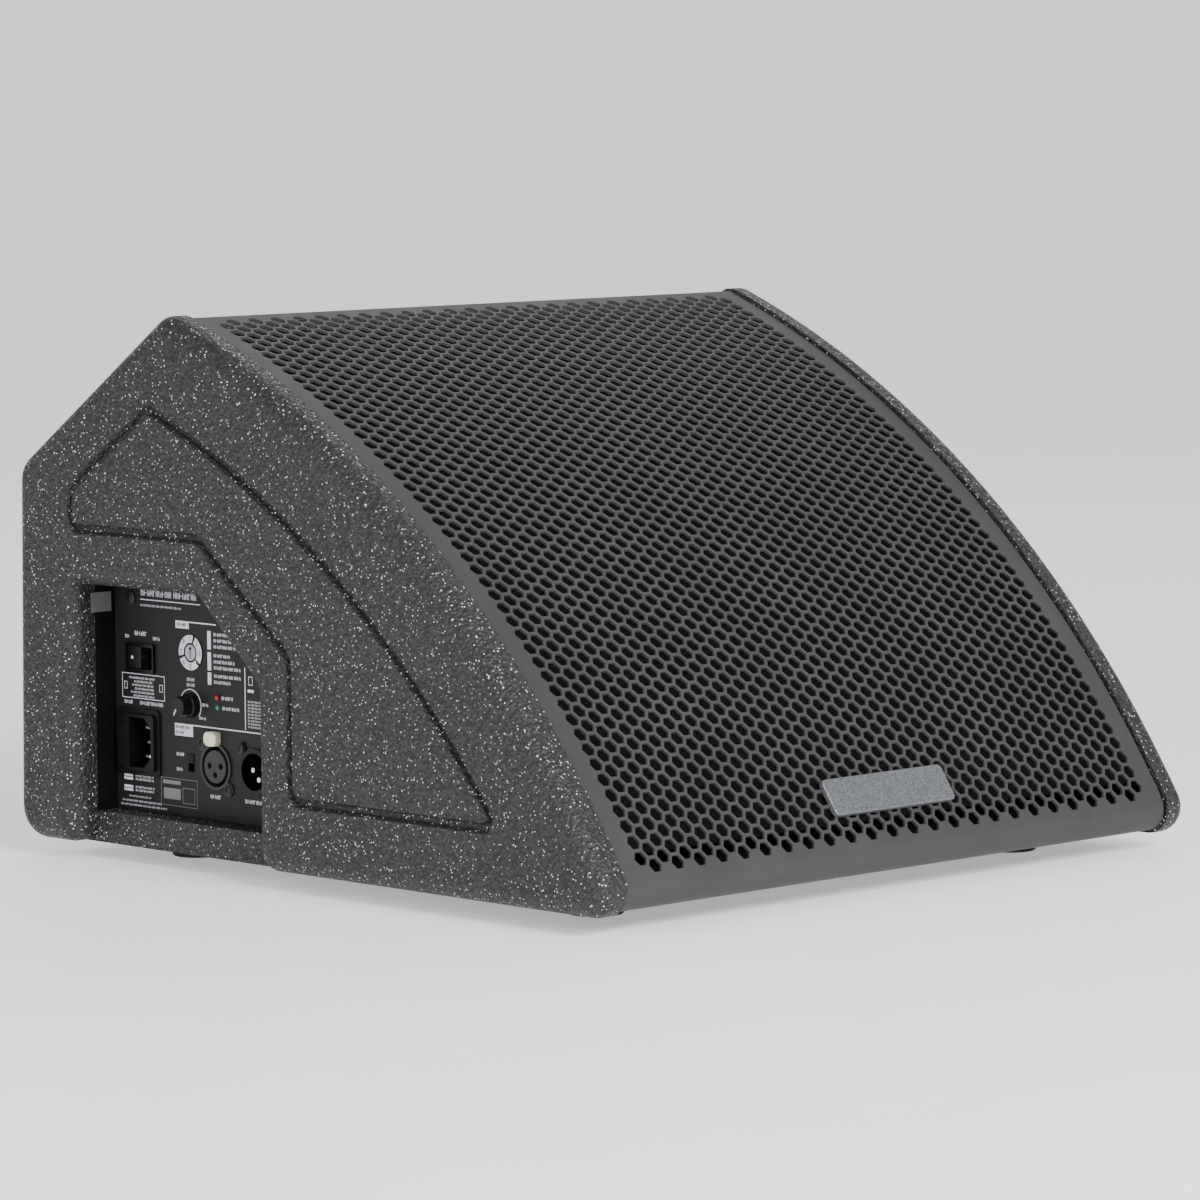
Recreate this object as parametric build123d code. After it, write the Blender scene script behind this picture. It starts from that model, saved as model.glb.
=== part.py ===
from build123d import *
import os
from math import atan2, cos, degrees, radians, sin, sqrt

# Active coaxial stage monitor wedge. Millimetres, +Z up, front towards -Y.
# The origin is on the floor, under the middle of the cabinet.

# ---------------------------------------------------------------- driving dimensions
cabinet_width = 393.0
board = 15.0
foot_height = 8.5
side_roundover = 9.0
side_proud = 1.5

grille_radius = 576.8
grille_sheet = 1.5
grille_width = 360.0
grille_top_angle = 110.4
grille_lip = 22.0
nose_radius = 11.2
nose_y = -191.05
nose_angle = 148.0

back_foot_y = 204.2
back_bend_z = 189.0
back_lean = 1.13
rear_slope = 34.55
rear_inset = 2.0
back_foot_round = 16.0
back_bend_round = 14.0
apex_round = 12.0

notch_front_y = 27.2
notch_rear_y = 159.7
notch_top_z = 133.5
notch_slant_y = 71.2
notch_slant_z = 93.4

groove_width = 5.2
groove_depth = 2.8
groove_front_inset = 45.8
groove_slope_inset = 32.0
groove_rear_y = 159.6
groove_shelf_z = 160.7
groove_bend_y = 66.0
groove_wall_y = 2.5
groove_wall_top_z = 110.0
groove_floor_z = 43.0

baffle_angle = 129.0
baffle_distance = 535.0
foam_thickness = 8.0
foam_top_angle = 112.6
foam_bottom_angle = 147.0

panel_x = -169.0
panel_sheet = 2.0
frame_wall = 8.0
chassis_depth = 55.0
chassis_sheet = 1.5

woofer_rise = 20.0
woofer_radius = 131.0
woofer_hole = 117.5

port_x = 136.0
port_rise = 118.0
port_bore = 24.0
port_length = 58.0

pole_y = 52.0
pole_z = 92.0
pole_bore = 18.0
pole_depth = 80.0

handle_run = 62.0
handle_length = 134.0
handle_height = 60.0
handle_depth = 42.0

foot_x = 139.0
foot_front_y = -139.8
foot_rear_y = 135.2
foot_radius = 13.0

badge_width = 80.0
badge_height = 18.6
badge_angle = 145.8

# ---------------------------------------------------------------- derived lines and points
half_width = cabinet_width / 2
half_inner = half_width - board
base_z = foot_height
floor_z = base_z + board
rim_radius = grille_radius + side_proud
nose_z = base_z + side_proud + nose_radius
arc_y = nose_y - (grille_radius - nose_radius) * cos(radians(nose_angle))
arc_z = nose_z - (grille_radius - nose_radius) * sin(radians(nose_angle))
back_dir = (-sin(radians(back_lean)), cos(radians(back_lean)))
slope_dir = (-cos(radians(rear_slope)), sin(radians(rear_slope)))
slope_out = (sin(radians(rear_slope)), cos(radians(rear_slope)))
baffle_out = (cos(radians(baffle_angle)), sin(radians(baffle_angle)))
baffle_up = (baffle_out[1], -baffle_out[0])
back_bend_y = back_foot_y + (back_bend_z - base_z) * back_dir[0] / back_dir[1]


def step(point, direction, distance):
    """Point a distance along a direction, both as (y, z)."""
    return (point[0] + direction[0] * distance, point[1] + direction[1] * distance)


def crossing(p, u, q, v):
    """Where the line through p along u meets the line through q along v."""
    across = u[0] * v[1] - u[1] * v[0]
    run = ((q[0] - p[0]) * v[1] - (q[1] - p[1]) * v[0]) / across
    return step(p, u, run)


def on_arc(radius, angle):
    """Point (y, z) at an angle on a circle about the grille's centre of curvature."""
    return (arc_y + radius * cos(radians(angle)), arc_z + radius * sin(radians(angle)))


def back_start(inset):
    """A point of the rear face's line, moved in by the inset."""
    return (back_foot_y - inset, base_z)


def slope_start(inset):
    """A point of the sloped rear face's line, moved in by the inset."""
    return step((back_bend_y, back_bend_z), slope_out, -inset)


def bend_corner(inset):
    """Corner of the rear face and the sloped face, both moved in by the inset."""
    return crossing(back_start(inset), back_dir, slope_start(inset), slope_dir)


def slope_meets_arc(inset, radius):
    """Where the inset sloped line crosses a circle about the grille's centre."""
    y, z = slope_start(inset)
    along = (y - arc_y) * slope_dir[0] + (z - arc_z) * slope_dir[1]
    outside = (y - arc_y) ** 2 + (z - arc_z) ** 2 - radius**2
    return step((y, z), slope_dir, -along + sqrt(along**2 - outside))


def baffle_spot(rise, depth=0.0):
    """Point a rise up the baffle board and a depth behind its front face."""
    return step(step((arc_y, arc_z), baffle_out, baffle_distance - depth), baffle_up, rise)


# ---------------------------------------------------------------- shape helpers
def slab(profile, x_from, x_to):
    """Solid with a (y, z) profile between two X positions."""
    return extrude(Plane.YZ.offset(x_from) * profile, amount=x_to - x_from)


def polygon(*points):
    """Sketch face through the given points."""
    return make_face(Polyline(*points, close=True))


def rounded(sketch, *corners):
    """Sketch with the corner nearest to each (x, y, radius) rounded."""
    for x, y, radius in corners:
        corner = sketch.vertices().sort_by_distance((x, y, 0))[0]
        sketch = fillet(corner, radius)
    return sketch


def turned(*points):
    """Solid of revolution about Z from an (r, z) outline."""
    return revolve(Plane.XZ * polygon(*points), Axis.Z)


def tube(outer, inner, z_from, z_to):
    """Straight tube about Z."""
    return turned((inner, z_from), (outer, z_from), (outer, z_to), (inner, z_to))


def rod(radius, z_from, z_to):
    """Straight round bar about Z."""
    return Pos(0, 0, z_from) * Cylinder(radius, z_to - z_from, align=(Align.CENTER, Align.CENTER, Align.MIN))


def block(x_size, y_size, z_from, z_to):
    """Rectangular block centred on Z."""
    middle = (Align.CENTER, Align.CENTER, Align.MIN)
    return Pos(0, 0, z_from) * Box(x_size, y_size, z_to - z_from, align=middle)


def round_block(x_size, y_size, corner, z_from, z_to):
    """Block centred on Z with rounded upright corners."""
    return extrude(Plane.XY.offset(z_from) * RectangleRounded(x_size, y_size, corner), amount=z_to - z_from)


def screw(shank, length, head, head_height, recess=True):
    """Screw along Z: shank down from zero, domed head above, cross recess in the head."""
    body = rod(shank, -length, 0.02) + turned((0, 0), (head, 0), (head, head_height * 0.45), (0, head_height))
    if recess:
        slot = Box(head * 1.1, head * 0.26, head_height * 1.1)
        body -= Pos(0, 0, head_height) * slot + Pos(0, 0, head_height) * (Rot(0, 0, 90) * slot)
    return body


def group(solids):
    """One compound holding separate solids."""
    return Compound(children=[solid.solid() for solid in solids])


def driver_plane(depth=0.0):
    """Plane of the driver: X to the right, Y up the baffle, Z out towards the listener."""
    y, z = baffle_spot(woofer_rise, depth)
    return Plane(origin=(0, y, z), x_dir=(1, 0, 0), z_dir=(0, baffle_out[0], baffle_out[1]))


def port_plane(side):
    """Plane of a reflex port on the baffle's front face."""
    y, z = baffle_spot(port_rise)
    return Plane(origin=(side * port_x, y, z), x_dir=(1, 0, 0), z_dir=(0, baffle_out[0], baffle_out[1]))


def slope_plane():
    """Plane of the handle on the sloped board's outer face: Y up the slope, Z outwards."""
    y, z = step(slope_start(rear_inset), slope_dir, handle_run)
    return Plane(origin=(0, y, z), x_dir=(-1, 0, 0), z_dir=(0, slope_out[0], slope_out[1]))


def panel_plane(y, z):
    """Plane on the amplifier panel: X towards the front, Y up, Z outwards."""
    return Plane(origin=(panel_x, y, z), x_dir=(0, -1, 0), z_dir=(-1, 0, 0))


pole_plane = Plane(origin=(half_width, pole_y, pole_z), x_dir=(0, 1, 0), z_dir=(1, 0, 0))


# ---------------------------------------------------------------- cabinet
def side_profile():
    """Outline of a side board."""
    foot = back_start(0)
    bend = bend_corner(0)
    apex = slope_meets_arc(0, rim_radius)
    apex_angle = degrees(atan2(apex[1] - arc_z, apex[0] - arc_y))
    outline = [
        Line((nose_y, base_z), foot),
        Line(foot, bend),
        Line(bend, apex),
        CenterArc((arc_y, arc_z), rim_radius, apex_angle, nose_angle - apex_angle),
        CenterArc((nose_y, nose_z), nose_radius + side_proud, nose_angle, 270 - nose_angle),
    ]
    corners = [(*foot, back_foot_round), (*bend, back_bend_round), (*apex, apex_round)]
    return rounded(make_face(outline), *corners)


def notch_profile(grow=0.0, bottom=base_z - 20):
    """Outline of the amplifier notch, grown outwards by a distance, down to a level."""
    slant = (notch_slant_y - notch_front_y, notch_top_z - notch_slant_z)
    slant_size = sqrt(slant[0] ** 2 + slant[1] ** 2)
    slant_dir = (slant[0] / slant_size, slant[1] / slant_size)
    slant_point = step((notch_front_y, notch_slant_z), (-slant_dir[1], slant_dir[0]), grow)
    front = notch_front_y - grow
    rear = notch_rear_y + grow
    top = notch_top_z + grow
    low_corner = crossing(slant_point, slant_dir, (front, 0), (0, 1))
    high_corner = crossing(slant_point, slant_dir, (0, top), (1, 0))
    face = polygon((front, bottom), (rear, bottom), (rear, top), high_corner, low_corner)
    corners = [(rear, top, 4.5 + grow), (*high_corner, 10 + grow), (*low_corner, 10 + grow)]
    return rounded(face, *corners)


def groove_profile():
    """Outline of the closed path that the decorative groove follows."""
    radius = rim_radius - groove_front_inset
    tip = slope_meets_arc(groove_slope_inset, radius)
    tip_angle = degrees(atan2(tip[1] - arc_z, tip[0] - arc_y))
    toe_angle = 180 - degrees(atan2(groove_floor_z - arc_z, sqrt(radius**2 - (groove_floor_z - arc_z) ** 2)))
    toe = on_arc(radius, toe_angle)
    shoulder = crossing(tip, slope_dir, (groove_rear_y, 0), (0, 1))
    shelf = (groove_rear_y, groove_shelf_z)
    bend = (groove_bend_y, groove_shelf_z)
    wall_top = (groove_wall_y, groove_wall_top_z)
    wall_low = (groove_wall_y, groove_floor_z)
    outline = [
        CenterArc((arc_y, arc_z), radius, tip_angle, toe_angle - tip_angle),
        Polyline(toe, wall_low, wall_top, bend, shelf, shoulder, tip),
    ]
    corners = [(*tip, 4), (*toe, 4), (*shoulder, 7), (*shelf, 7)]
    corners += [(*bend, 10), (*wall_top, 10), (*wall_low, 8)]
    return rounded(make_face(outline), *corners)


def groove_cut():
    """V-shaped groove with a flat floor, cut from the left board's outer face."""
    path = groove_profile()
    ring = offset(path, groove_width / 2, kind=Kind.ARC) - offset(path, -groove_width / 2, kind=Kind.ARC)
    cut = extrude(Plane.YZ.offset(-half_width) * ring, amount=groove_depth, taper=28)
    return cut


def side_blank(profile):
    """Left side board with its outer edges rounded over and its groove cut."""
    blank = slab(profile, -half_width, -half_inner)
    outer = blank.faces().sort_by(Axis.X)[0]
    return fillet(outer.edges(), side_roundover) - groove_cut()


def left_side_board():
    """Left side board with the notch open at the bottom."""
    profile = side_profile() - notch_profile()
    profile = rounded(profile, (notch_front_y, base_z, 10), (notch_rear_y, base_z, 10))
    return side_blank(profile)


def right_side_board():
    """Right side board with the hole for the pole cup."""
    blank = mirror(side_blank(side_profile()), Plane.YZ)
    hole = rod(pole_bore + 3.1, -board - 1, 1) + rod(34.1, -3, 1)
    for turn in range(4):
        hole += Rot(0, 0, 45 + 90 * turn) * (Pos(28, 0, 0) * rod(1.8, -board - 1, 1))
    return blank - pole_plane * hole


def shell_profile():
    """Outline that the base, back and sloped boards share."""
    foot = back_start(rear_inset)
    bend = bend_corner(rear_inset)
    far = step(bend, slope_dir, 200)
    face = polygon((-220, base_z), foot, bend, far, (-220, far[1]))
    return rounded(face, (*foot, back_foot_round - rear_inset), (*bend, back_bend_round - rear_inset))


lip_screw_x = [-135, -45, 45, 135]
lip_screw_y = -176.0
foot_spots = [(x, y) for x in (-foot_x, foot_x) for y in (foot_front_y, foot_rear_y)]


def base_board():
    """Base board with a rebate for the grille's lip and holes for its screws."""
    rear = back_start(rear_inset)[0]
    face = polygon((nose_y + 8, base_z), (rear, base_z), (rear, floor_z), (nose_y + 8, floor_z))
    blank = slab(face & shell_profile(), -half_inner, half_inner)
    lip_end = nose_y + grille_lip + 1
    rebate = Pos(0, lip_end, base_z) * Box(400, 100, 6.6, align=(Align.CENTER, Align.MAX, Align.CENTER))
    blank -= rebate
    for x in lip_screw_x:
        blank -= Pos(x, lip_screw_y, 0) * rod(1.8, 8, 21.1)
    for x, y in foot_spots:
        blank -= Pos(x, y, 0) * rod(2.0, 8, 21.1)
    return blank


def back_board():
    """Upright back board, mitred to the sloped board."""
    low_out = crossing(back_start(rear_inset), back_dir, (0, floor_z), (1, 0))
    low_in = crossing(back_start(rear_inset + board), back_dir, (0, floor_z), (1, 0))
    face = polygon(low_out, bend_corner(rear_inset), bend_corner(rear_inset + board), low_in)
    return slab(face & shell_profile(), -half_inner, half_inner)


handle_screw_x = handle_length / 2 + 8
handle_screw_y = handle_height / 3
handle_screw_spots = [
    (x, y) for x in (-handle_screw_x, handle_screw_x) for y in (-handle_screw_y, handle_screw_y)
]


def slope_board():
    """Sloped board with the opening for the handle cup."""
    outer = bend_corner(rear_inset)
    inner = bend_corner(rear_inset + board)
    face = polygon(outer, step(outer, slope_dir, 180), step(inner, slope_dir, 180), inner)
    disc = Pos(arc_y, arc_z) * Circle(grille_radius - 3.0)
    blank = slab(face & shell_profile() & disc, -half_inner, half_inner)
    opening = round_block(handle_length + 6.2, handle_height + 6.2, 11.1, -board - 1, 1)
    flange = round_block(handle_length + 26.2, handle_height + 22.2, 15.1, -2.5, 1)
    holes = opening + flange
    for x, y in handle_screw_spots:
        holes += Pos(x, y, 0) * rod(1.6, -board - 1, 0)
    return blank - slope_plane() * holes


def baffle_board():
    """Baffle board with the driver and port openings."""
    slope_inner = slope_start(rear_inset + board)
    corners = []
    for depth in (0.0, board):
        spot = baffle_spot(0, depth)
        low = crossing(spot, baffle_up, (0, floor_z), (1, 0))
        high = crossing(spot, baffle_up, slope_inner, slope_dir)
        corners.append((low, high))
    face = polygon(corners[0][0], corners[0][1], corners[1][1], corners[1][0])
    blank = slab(face, -half_inner, half_inner)
    openings = rod(woofer_hole, -board - 1, 1)
    for turn in range(8):
        openings += Rot(0, 0, 22.5 + 45 * turn) * (Pos(124, 0, 0) * rod(2.05, -12.1, 1))
    blank -= driver_plane() * openings
    for side in (-1, 1):
        blank -= port_plane(side) * rod(port_bore + 2.1, -board - 1, 1)
    return blank


def recess_frame():
    """Frame that lines the notch between the side board and the amplifier panel."""
    face = notch_profile(frame_wall, floor_z) - notch_profile(0)
    return slab(face, -half_inner, panel_x)


def grille():
    """Curved front sheet with a rolled nose and a lip under the base board."""
    lip_y = nose_y + grille_lip
    nose_inner = nose_radius - grille_sheet
    face_inner = grille_radius - grille_sheet
    outline = [
        CenterArc((arc_y, arc_z), grille_radius, grille_top_angle, nose_angle - grille_top_angle),
        CenterArc((nose_y, nose_z), nose_radius, nose_angle, 270 - nose_angle),
        Line((nose_y, nose_z - nose_radius), (lip_y, nose_z - nose_radius)),
        Line((lip_y, nose_z - nose_radius), (lip_y, nose_z - nose_inner)),
        Line((nose_y, nose_z - nose_inner), (lip_y, nose_z - nose_inner)),
        CenterArc((nose_y, nose_z), nose_inner, nose_angle, 270 - nose_angle),
        CenterArc((arc_y, arc_z), face_inner, grille_top_angle, nose_angle - grille_top_angle),
        Line(on_arc(face_inner, grille_top_angle), on_arc(grille_radius, grille_top_angle)),
    ]
    sheet = slab(make_face(outline), -grille_width / 2, grille_width / 2)
    for x in lip_screw_x:
        sheet -= Pos(x, lip_screw_y, 0) * rod(1.8, 8, 14)
    return sheet


def grille_foam():
    """Open-cell foam behind the grille."""
    outer = grille_radius - grille_sheet - 0.2
    inner = outer - foam_thickness
    sweep_angle = foam_bottom_angle - foam_top_angle
    outline = [
        CenterArc((arc_y, arc_z), outer, foam_top_angle, sweep_angle),
        Line(on_arc(outer, foam_bottom_angle), on_arc(inner, foam_bottom_angle)),
        CenterArc((arc_y, arc_z), inner, foam_top_angle, sweep_angle),
        Line(on_arc(inner, foam_top_angle), on_arc(outer, foam_top_angle)),
    ]
    return slab(make_face(outline), -grille_width / 2 + 2, grille_width / 2 - 2)


def badge_plate():
    """Blank name plate standing on the grille."""
    y, z = on_arc(grille_radius, badge_angle)
    out = (0, cos(radians(badge_angle)), sin(radians(badge_angle)))
    plate = round_block(badge_width, badge_height, 2.5, 0.1, 2.6)
    plate = fillet(plate.faces().sort_by(Axis.Z)[-1].edges(), 0.7)
    return Plane(origin=(0, y, z), x_dir=(1, 0, 0), z_dir=out) * plate


def rubber_foot():
    """Round foot with a recess for its screw."""
    sole = [(0, 0), (foot_radius - 0.8, 0), (foot_radius, 0.8)]
    foot = turned(*sole, (foot_radius - 1, foot_height), (0, foot_height))
    return foot - rod(5.2, -1, 4.5) - rod(2.0, 4, 9)


def upward_screw(shank, top, head, bearing):
    """Screw driven upwards, its head under the bearing level."""
    return Pos(0, 0, bearing) * (Rot(180, 0, 0) * screw(shank, top - bearing, head, 1.9))


def pole_cup():
    """Plain tube with a closed end and a flange let into the side board."""
    cup = turned(
        (pole_bore, 0),
        (34, 0),
        (34, -2.9),
        (pole_bore + 3, -2.9),
        (pole_bore + 3, -pole_depth - 3),
        (0, -pole_depth - 3),
        (0, -pole_depth),
        (pole_bore, -pole_depth),
    )
    for turn in range(4):
        spot = Rot(0, 0, 45 + 90 * turn) * Pos(28, 0, 0)
        cup -= spot * (rod(1.8, -5, 1) + rod(3.6, -1.9, 1))
    return pole_plane * cup


def handle_cup():
    """Moulded cup of the recessed handle, with holes for the bar and the screws."""
    cup = round_block(handle_length + 26, handle_height + 22, 15, -2.4, 0)
    cup += round_block(handle_length + 6, handle_height + 6, 11, -handle_depth - 3, -1)
    cup -= round_block(handle_length, handle_height, 8, -handle_depth, 1)
    cup -= Pos(0, 0, -15) * (Rot(0, 90, 0) * rod(8.0, -handle_length / 2 - 2, handle_length / 2 + 2))
    for x, y in handle_screw_spots:
        cup -= Pos(x, y, 0) * rod(1.6, -5, 1)
    return slope_plane() * cup


def handle_bar():
    """Round grip bar across the cup, its ends let into the cup's walls."""
    bar = Rot(0, 90, 0) * rod(7.95, -handle_length / 2 - 1.9, handle_length / 2 + 1.9)
    return slope_plane() * (Pos(0, 0, -15) * bar)


def hardware_screws():
    """Screws of the handle cup and of the pole cup."""
    solids = [slope_plane() * (Pos(x, y, 0) * screw(1.6, 14, 3.4, 1.8)) for x, y in handle_screw_spots]
    for turn in range(4):
        spot = Rot(0, 0, 45 + 90 * turn) * Pos(28, 0, 0)
        solids.append(pole_plane * (spot * (Pos(0, 0, -1.9) * screw(1.8, 13, 3.4, 1.8))))
    return group(solids)


def reflex_port(side):
    """Flared reflex port glued into the baffle board."""
    flare = port_bore + 5
    body = turned(
        (port_bore, -port_length),
        (port_bore + 2, -port_length),
        (port_bore + 2, 0),
        (flare, 0),
        (flare, 1.2),
        (port_bore + 1.5, 1.2),
        (port_bore, -3),
    )
    return port_plane(side) * body


def damping_wadding():
    """Wadding sheet against the back board."""
    low = crossing(back_start(rear_inset + board), back_dir, (0, floor_z + 4), (1, 0))
    high = step(bend_corner(rear_inset + board), back_dir, -14)
    face = polygon(low, high, (high[0] - 18, high[1]), (low[0] - 18, low[1]))
    return slab(face, -100, 170)


# ---------------------------------------------------------------- coaxial driver
magnet_front = -62.0
magnet_back = -86.0
gap_radius = 34.0


def driver_basket():
    """Cast basket: flange, six arms and the seat for the magnet."""
    bowl = turned(
        (woofer_hole - 6, 0.1),
        (woofer_radius, 0.1),
        (woofer_radius, 4),
        (woofer_hole - 2.5, 4),
        (woofer_hole - 6, -12),
        (66, -50),
        (60, magnet_front + 6),
        (gap_radius + 4, magnet_front + 4),
        (gap_radius + 4, magnet_front),
        (66, magnet_front),
        (70, -52),
        (woofer_hole - 2.5, -14),
        (woofer_hole - 2.5, 0.1),
    )
    for turn in range(6):
        window = Pos(88, 0, -33) * (Rot(0, -40, 0) * Box(34, 56, 30))
        bowl -= Rot(0, 0, 60 * turn) * window
    for turn in range(8):
        bowl -= Rot(0, 0, 22.5 + 45 * turn) * (Pos(124, 0, 0) * rod(2.05, -1, 5))
    return driver_plane() * bowl


def driver_gasket():
    """Foam ring on the basket's flange."""
    ring = tube(119.5, woofer_hole - 1, 4, 6.5)
    return driver_plane() * ring


def driver_screws():
    """Eight screws through the basket's flange."""
    solids = []
    for turn in range(8):
        spot = Rot(0, 0, 22.5 + 45 * turn) * Pos(124, 0, 4)
        solids.append(driver_plane() * (spot * screw(2.0, 16, 3.8, 2.2)))
    return group(solids)


def surround():
    """Half-roll rubber surround between the cone's edge and the flange."""
    roll = Plane.XZ * (Pos(106, 4.3) * (Circle(7) - Circle(6) - Pos(0, -10) * Rectangle(30, 20)))
    ring = revolve(roll, Axis.Z)
    ring += tube(116.0, 112.0, 4.05, 5.0) + tube(100.0, 97.0, 4.05, 5.0)
    return driver_plane() * ring


def woofer_cone():
    """Paper cone."""
    cone = turned((34.6, -36), (100, 2.8), (100, 4), (98, 4), (34.6, -34.2))
    return driver_plane() * cone


def voice_coil():
    """Voice coil wound on its former."""
    coil = tube(34.6, 32.6, -67, -60) + tube(34.3, 33.0, -60.01, -33)
    return driver_plane() * coil


def spider():
    """Corrugated centring disc between the former and the basket."""
    low = [(r, -51 + 1.2 * sin((r - 35) * 0.85)) for r in range(35, 64, 2)]
    high = [(r, z + 0.6) for r, z in reversed(low)]
    return driver_plane() * turned(*low, *high)


def top_plate():
    """Steel ring in front of the magnet."""
    return driver_plane() * tube(58, 35.4, magnet_front - 6, magnet_front)


def ring_magnet():
    """Ring magnet."""
    return driver_plane() * tube(60, 40, magnet_back + 6, magnet_front - 6)


def back_plate():
    """Steel back plate in one piece with the hollow pole piece."""
    body = tube(58, 12.6, magnet_back, magnet_back + 6) + tube(31.8, 12.6, magnet_back + 5, magnet_front)
    return driver_plane() * body


def hf_horn():
    """Round horn on the pole piece, inside the voice coil."""
    outside = [(12.6, magnet_front), (31, magnet_front), (31, magnet_front + 3), (16, -50), (29, -20)]
    inside = [(27, -20), (14.4, -50), (12.6, -58)]
    return driver_plane() * turned(*outside, *inside)


def hf_driver():
    """Compression driver behind the back plate."""
    body = rod(38, magnet_back - 22, magnet_back) + rod(30, magnet_back - 31, magnet_back - 22)
    return driver_plane() * body


# ---------------------------------------------------------------- amplifier
rocker_y = 140.2
rocker_z = 97.6
inlet_y = 142.5
inlet_z = 57.0
socket_shift = 3.4
bay_shift = -10.4
selector_y = 103.4
selector_z = 102.7
level_y = 104.4
level_z = 77.4
switch_y = 104.4
switch_z = 50.1
input_y = 85.9
input_z = 49.7
output_y = 57.9
output_z = 49.6
latch_y = 87.6
latch_z = 62.9
limit_light = (84.2, 82.8)
signal_light = (83.8, 78.0)
screw_offset_y = 9.3
screw_offset_z = 10.2
connector_screw_spots = [
    (y + side * screw_offset_y, z + side * screw_offset_z)
    for y, z in ((input_y, input_z), (output_y, output_z))
    for side in (1, -1)
]
panel_screw_spots = [(147.5, 126.1), (36.0, 88.0), (36.0, 32.0)]


def amp_panel():
    """Front panel with an opening for each fitting."""
    panel = slab(notch_profile(frame_wall - 0.5, floor_z + 0.3), panel_x, panel_x + panel_sheet)
    panel -= panel_plane(rocker_y, rocker_z) * block(18.8, 12.8, -3, 1)
    panel -= panel_plane(inlet_y, inlet_z) * block(28.4, 28.4, -3, 1)
    panel -= panel_plane(selector_y, selector_z) * rod(4.6, -3, 1)
    panel -= panel_plane(level_y, level_z) * rod(3.6, -3, 1)
    panel -= panel_plane(switch_y, switch_z) * block(5.4, 9.8, -3, 1)
    panel -= panel_plane(input_y, input_z) * rod(10.6, -3, 1)
    panel -= panel_plane(output_y, output_z) * rod(10.6, -3, 1)
    panel -= panel_plane(latch_y, latch_z) * block(9.6, 7.4, -3, 1)
    for y, z in (limit_light, signal_light):
        panel -= panel_plane(y, z) * rod(1.55, -3, 1)
    for y, z in connector_screw_spots:
        panel -= panel_plane(y, z) * rod(1.35, -3, 1)
    for y, z in panel_screw_spots:
        panel -= panel_plane(y, z) * rod(1.85, -3, 1)
    return panel


post_radius = 4.0


def amp_chassis():
    """Folded tray behind the panel, with a corner post for each panel screw."""
    near = panel_x + panel_sheet
    far = near + chassis_depth
    outer = notch_profile(-1.0, floor_z + 2)
    inner = notch_profile(-1.0 - chassis_sheet, floor_z + 2 + chassis_sheet)
    tray = slab(outer, near, far) - slab(inner, near - 1, far - chassis_sheet)
    for y, z in panel_screw_spots:
        post = rod(post_radius, -panel_sheet - chassis_depth + 1, -panel_sheet) - rod(1.8, -20, 0)
        tray += panel_plane(y, z) * post
    return tray


def amp_board():
    """Circuit board across the tray."""
    sheet = slab(notch_profile(-4.0, floor_z + 6), panel_x + 34, panel_x + 35.6)
    for y, z in panel_screw_spots:
        sheet -= panel_plane(y, z) * rod(post_radius + 0.3, -40, -30)
    return sheet


def amp_transformer():
    """Switch-mode transformer on the board."""
    return Pos(panel_x + 43.7, 128, 60) * Box(16, 36, 34)


def amp_capacitors():
    """Reservoir capacitors on the board."""
    solids = []
    for y in (62, 84):
        for z in (44, 68):
            solids.append(Pos(panel_x + 35.7, y, z) * (Rot(0, 90, 0) * rod(8.5, 0, 17)))
    return group(solids)


def amp_heatsink():
    """Finned heatsink on the board."""
    sink = Pos(panel_x + 37.7, 105, 108) * Box(4, 66, 26)
    for index in range(9):
        sink += Pos(panel_x + 45.6, 77 + 7 * index, 108) * Box(12, 1.6, 26)
    return sink


def panel_screws():
    """Screws that hold the panel to the tray."""
    return group([panel_plane(y, z) * screw(1.8, 12, 3.4, 1.9) for y, z in panel_screw_spots])


def rocker_frame():
    """Housing of the mains rocker."""
    frame = round_block(20.6, 14.1, 1.0, 0, 1.6) + block(18.6, 12.6, -18, 0.1)
    return panel_plane(rocker_y, rocker_z) * (frame - block(17.6, 10.6, -14, 2))


rocker_pivot = -1.0
rocker_tilt = 7.0


def power_rocker():
    """Mains rocker, pressed on its rear half, turning about an upright pivot."""
    body = polygon((-8.2, 3.2), (0, 1.3), (8.2, 3.2), (7.4, -4), (2.5, -8), (-2.5, -8), (-7.4, -4))
    rocker = Plane.XZ * body
    rocker = extrude(rocker, amount=5.1, both=True)
    dot = Pos(-4.4, 0, 3.2) * Cylinder(1.1, 0.6)
    rocker = Rot(0, -rocker_tilt, 0) * (rocker - dot)
    return panel_plane(rocker_y, rocker_z) * (Pos(0, 0, rocker_pivot) * rocker)


def socket_outline(grow=0.0):
    """Opening of the mains inlet, its two front corners cut off."""
    wide = 8.1 + grow
    tall = 12.0 + grow
    cut = 5.0
    keyed_side = [(wide - cut, -tall), (wide, -tall + cut), (wide, tall - cut), (wide - cut, tall)]
    return polygon((-wide, -tall), *keyed_side, (-wide, tall))


inlet_pin_spots = [(socket_shift + 0.5, -7), (socket_shift + 2.0, 0), (socket_shift + 0.5, 7)]


def mains_inlet():
    """Mains inlet with the bay for its fuse drawer."""
    shift = Pos(socket_shift, 0, 0)
    body = round_block(32, 32, 2.5, 0, 1.2) + block(28, 28, -24, 0.1)
    body += Pos(2.2, 0, 0) * round_block(23.0, 27.0, 2.0, 1.1, 3.0)
    body -= shift * extrude(Plane.XY.offset(-17) * socket_outline(), amount=30)
    body -= Pos(bay_shift, 0, 0) * block(6.0, 24.4, -20, 4)
    for x, y in inlet_pin_spots:
        body -= Pos(x, y, 0) * block(4.04, 2.04, -30, -16)
    return panel_plane(inlet_y, inlet_z) * body


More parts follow.
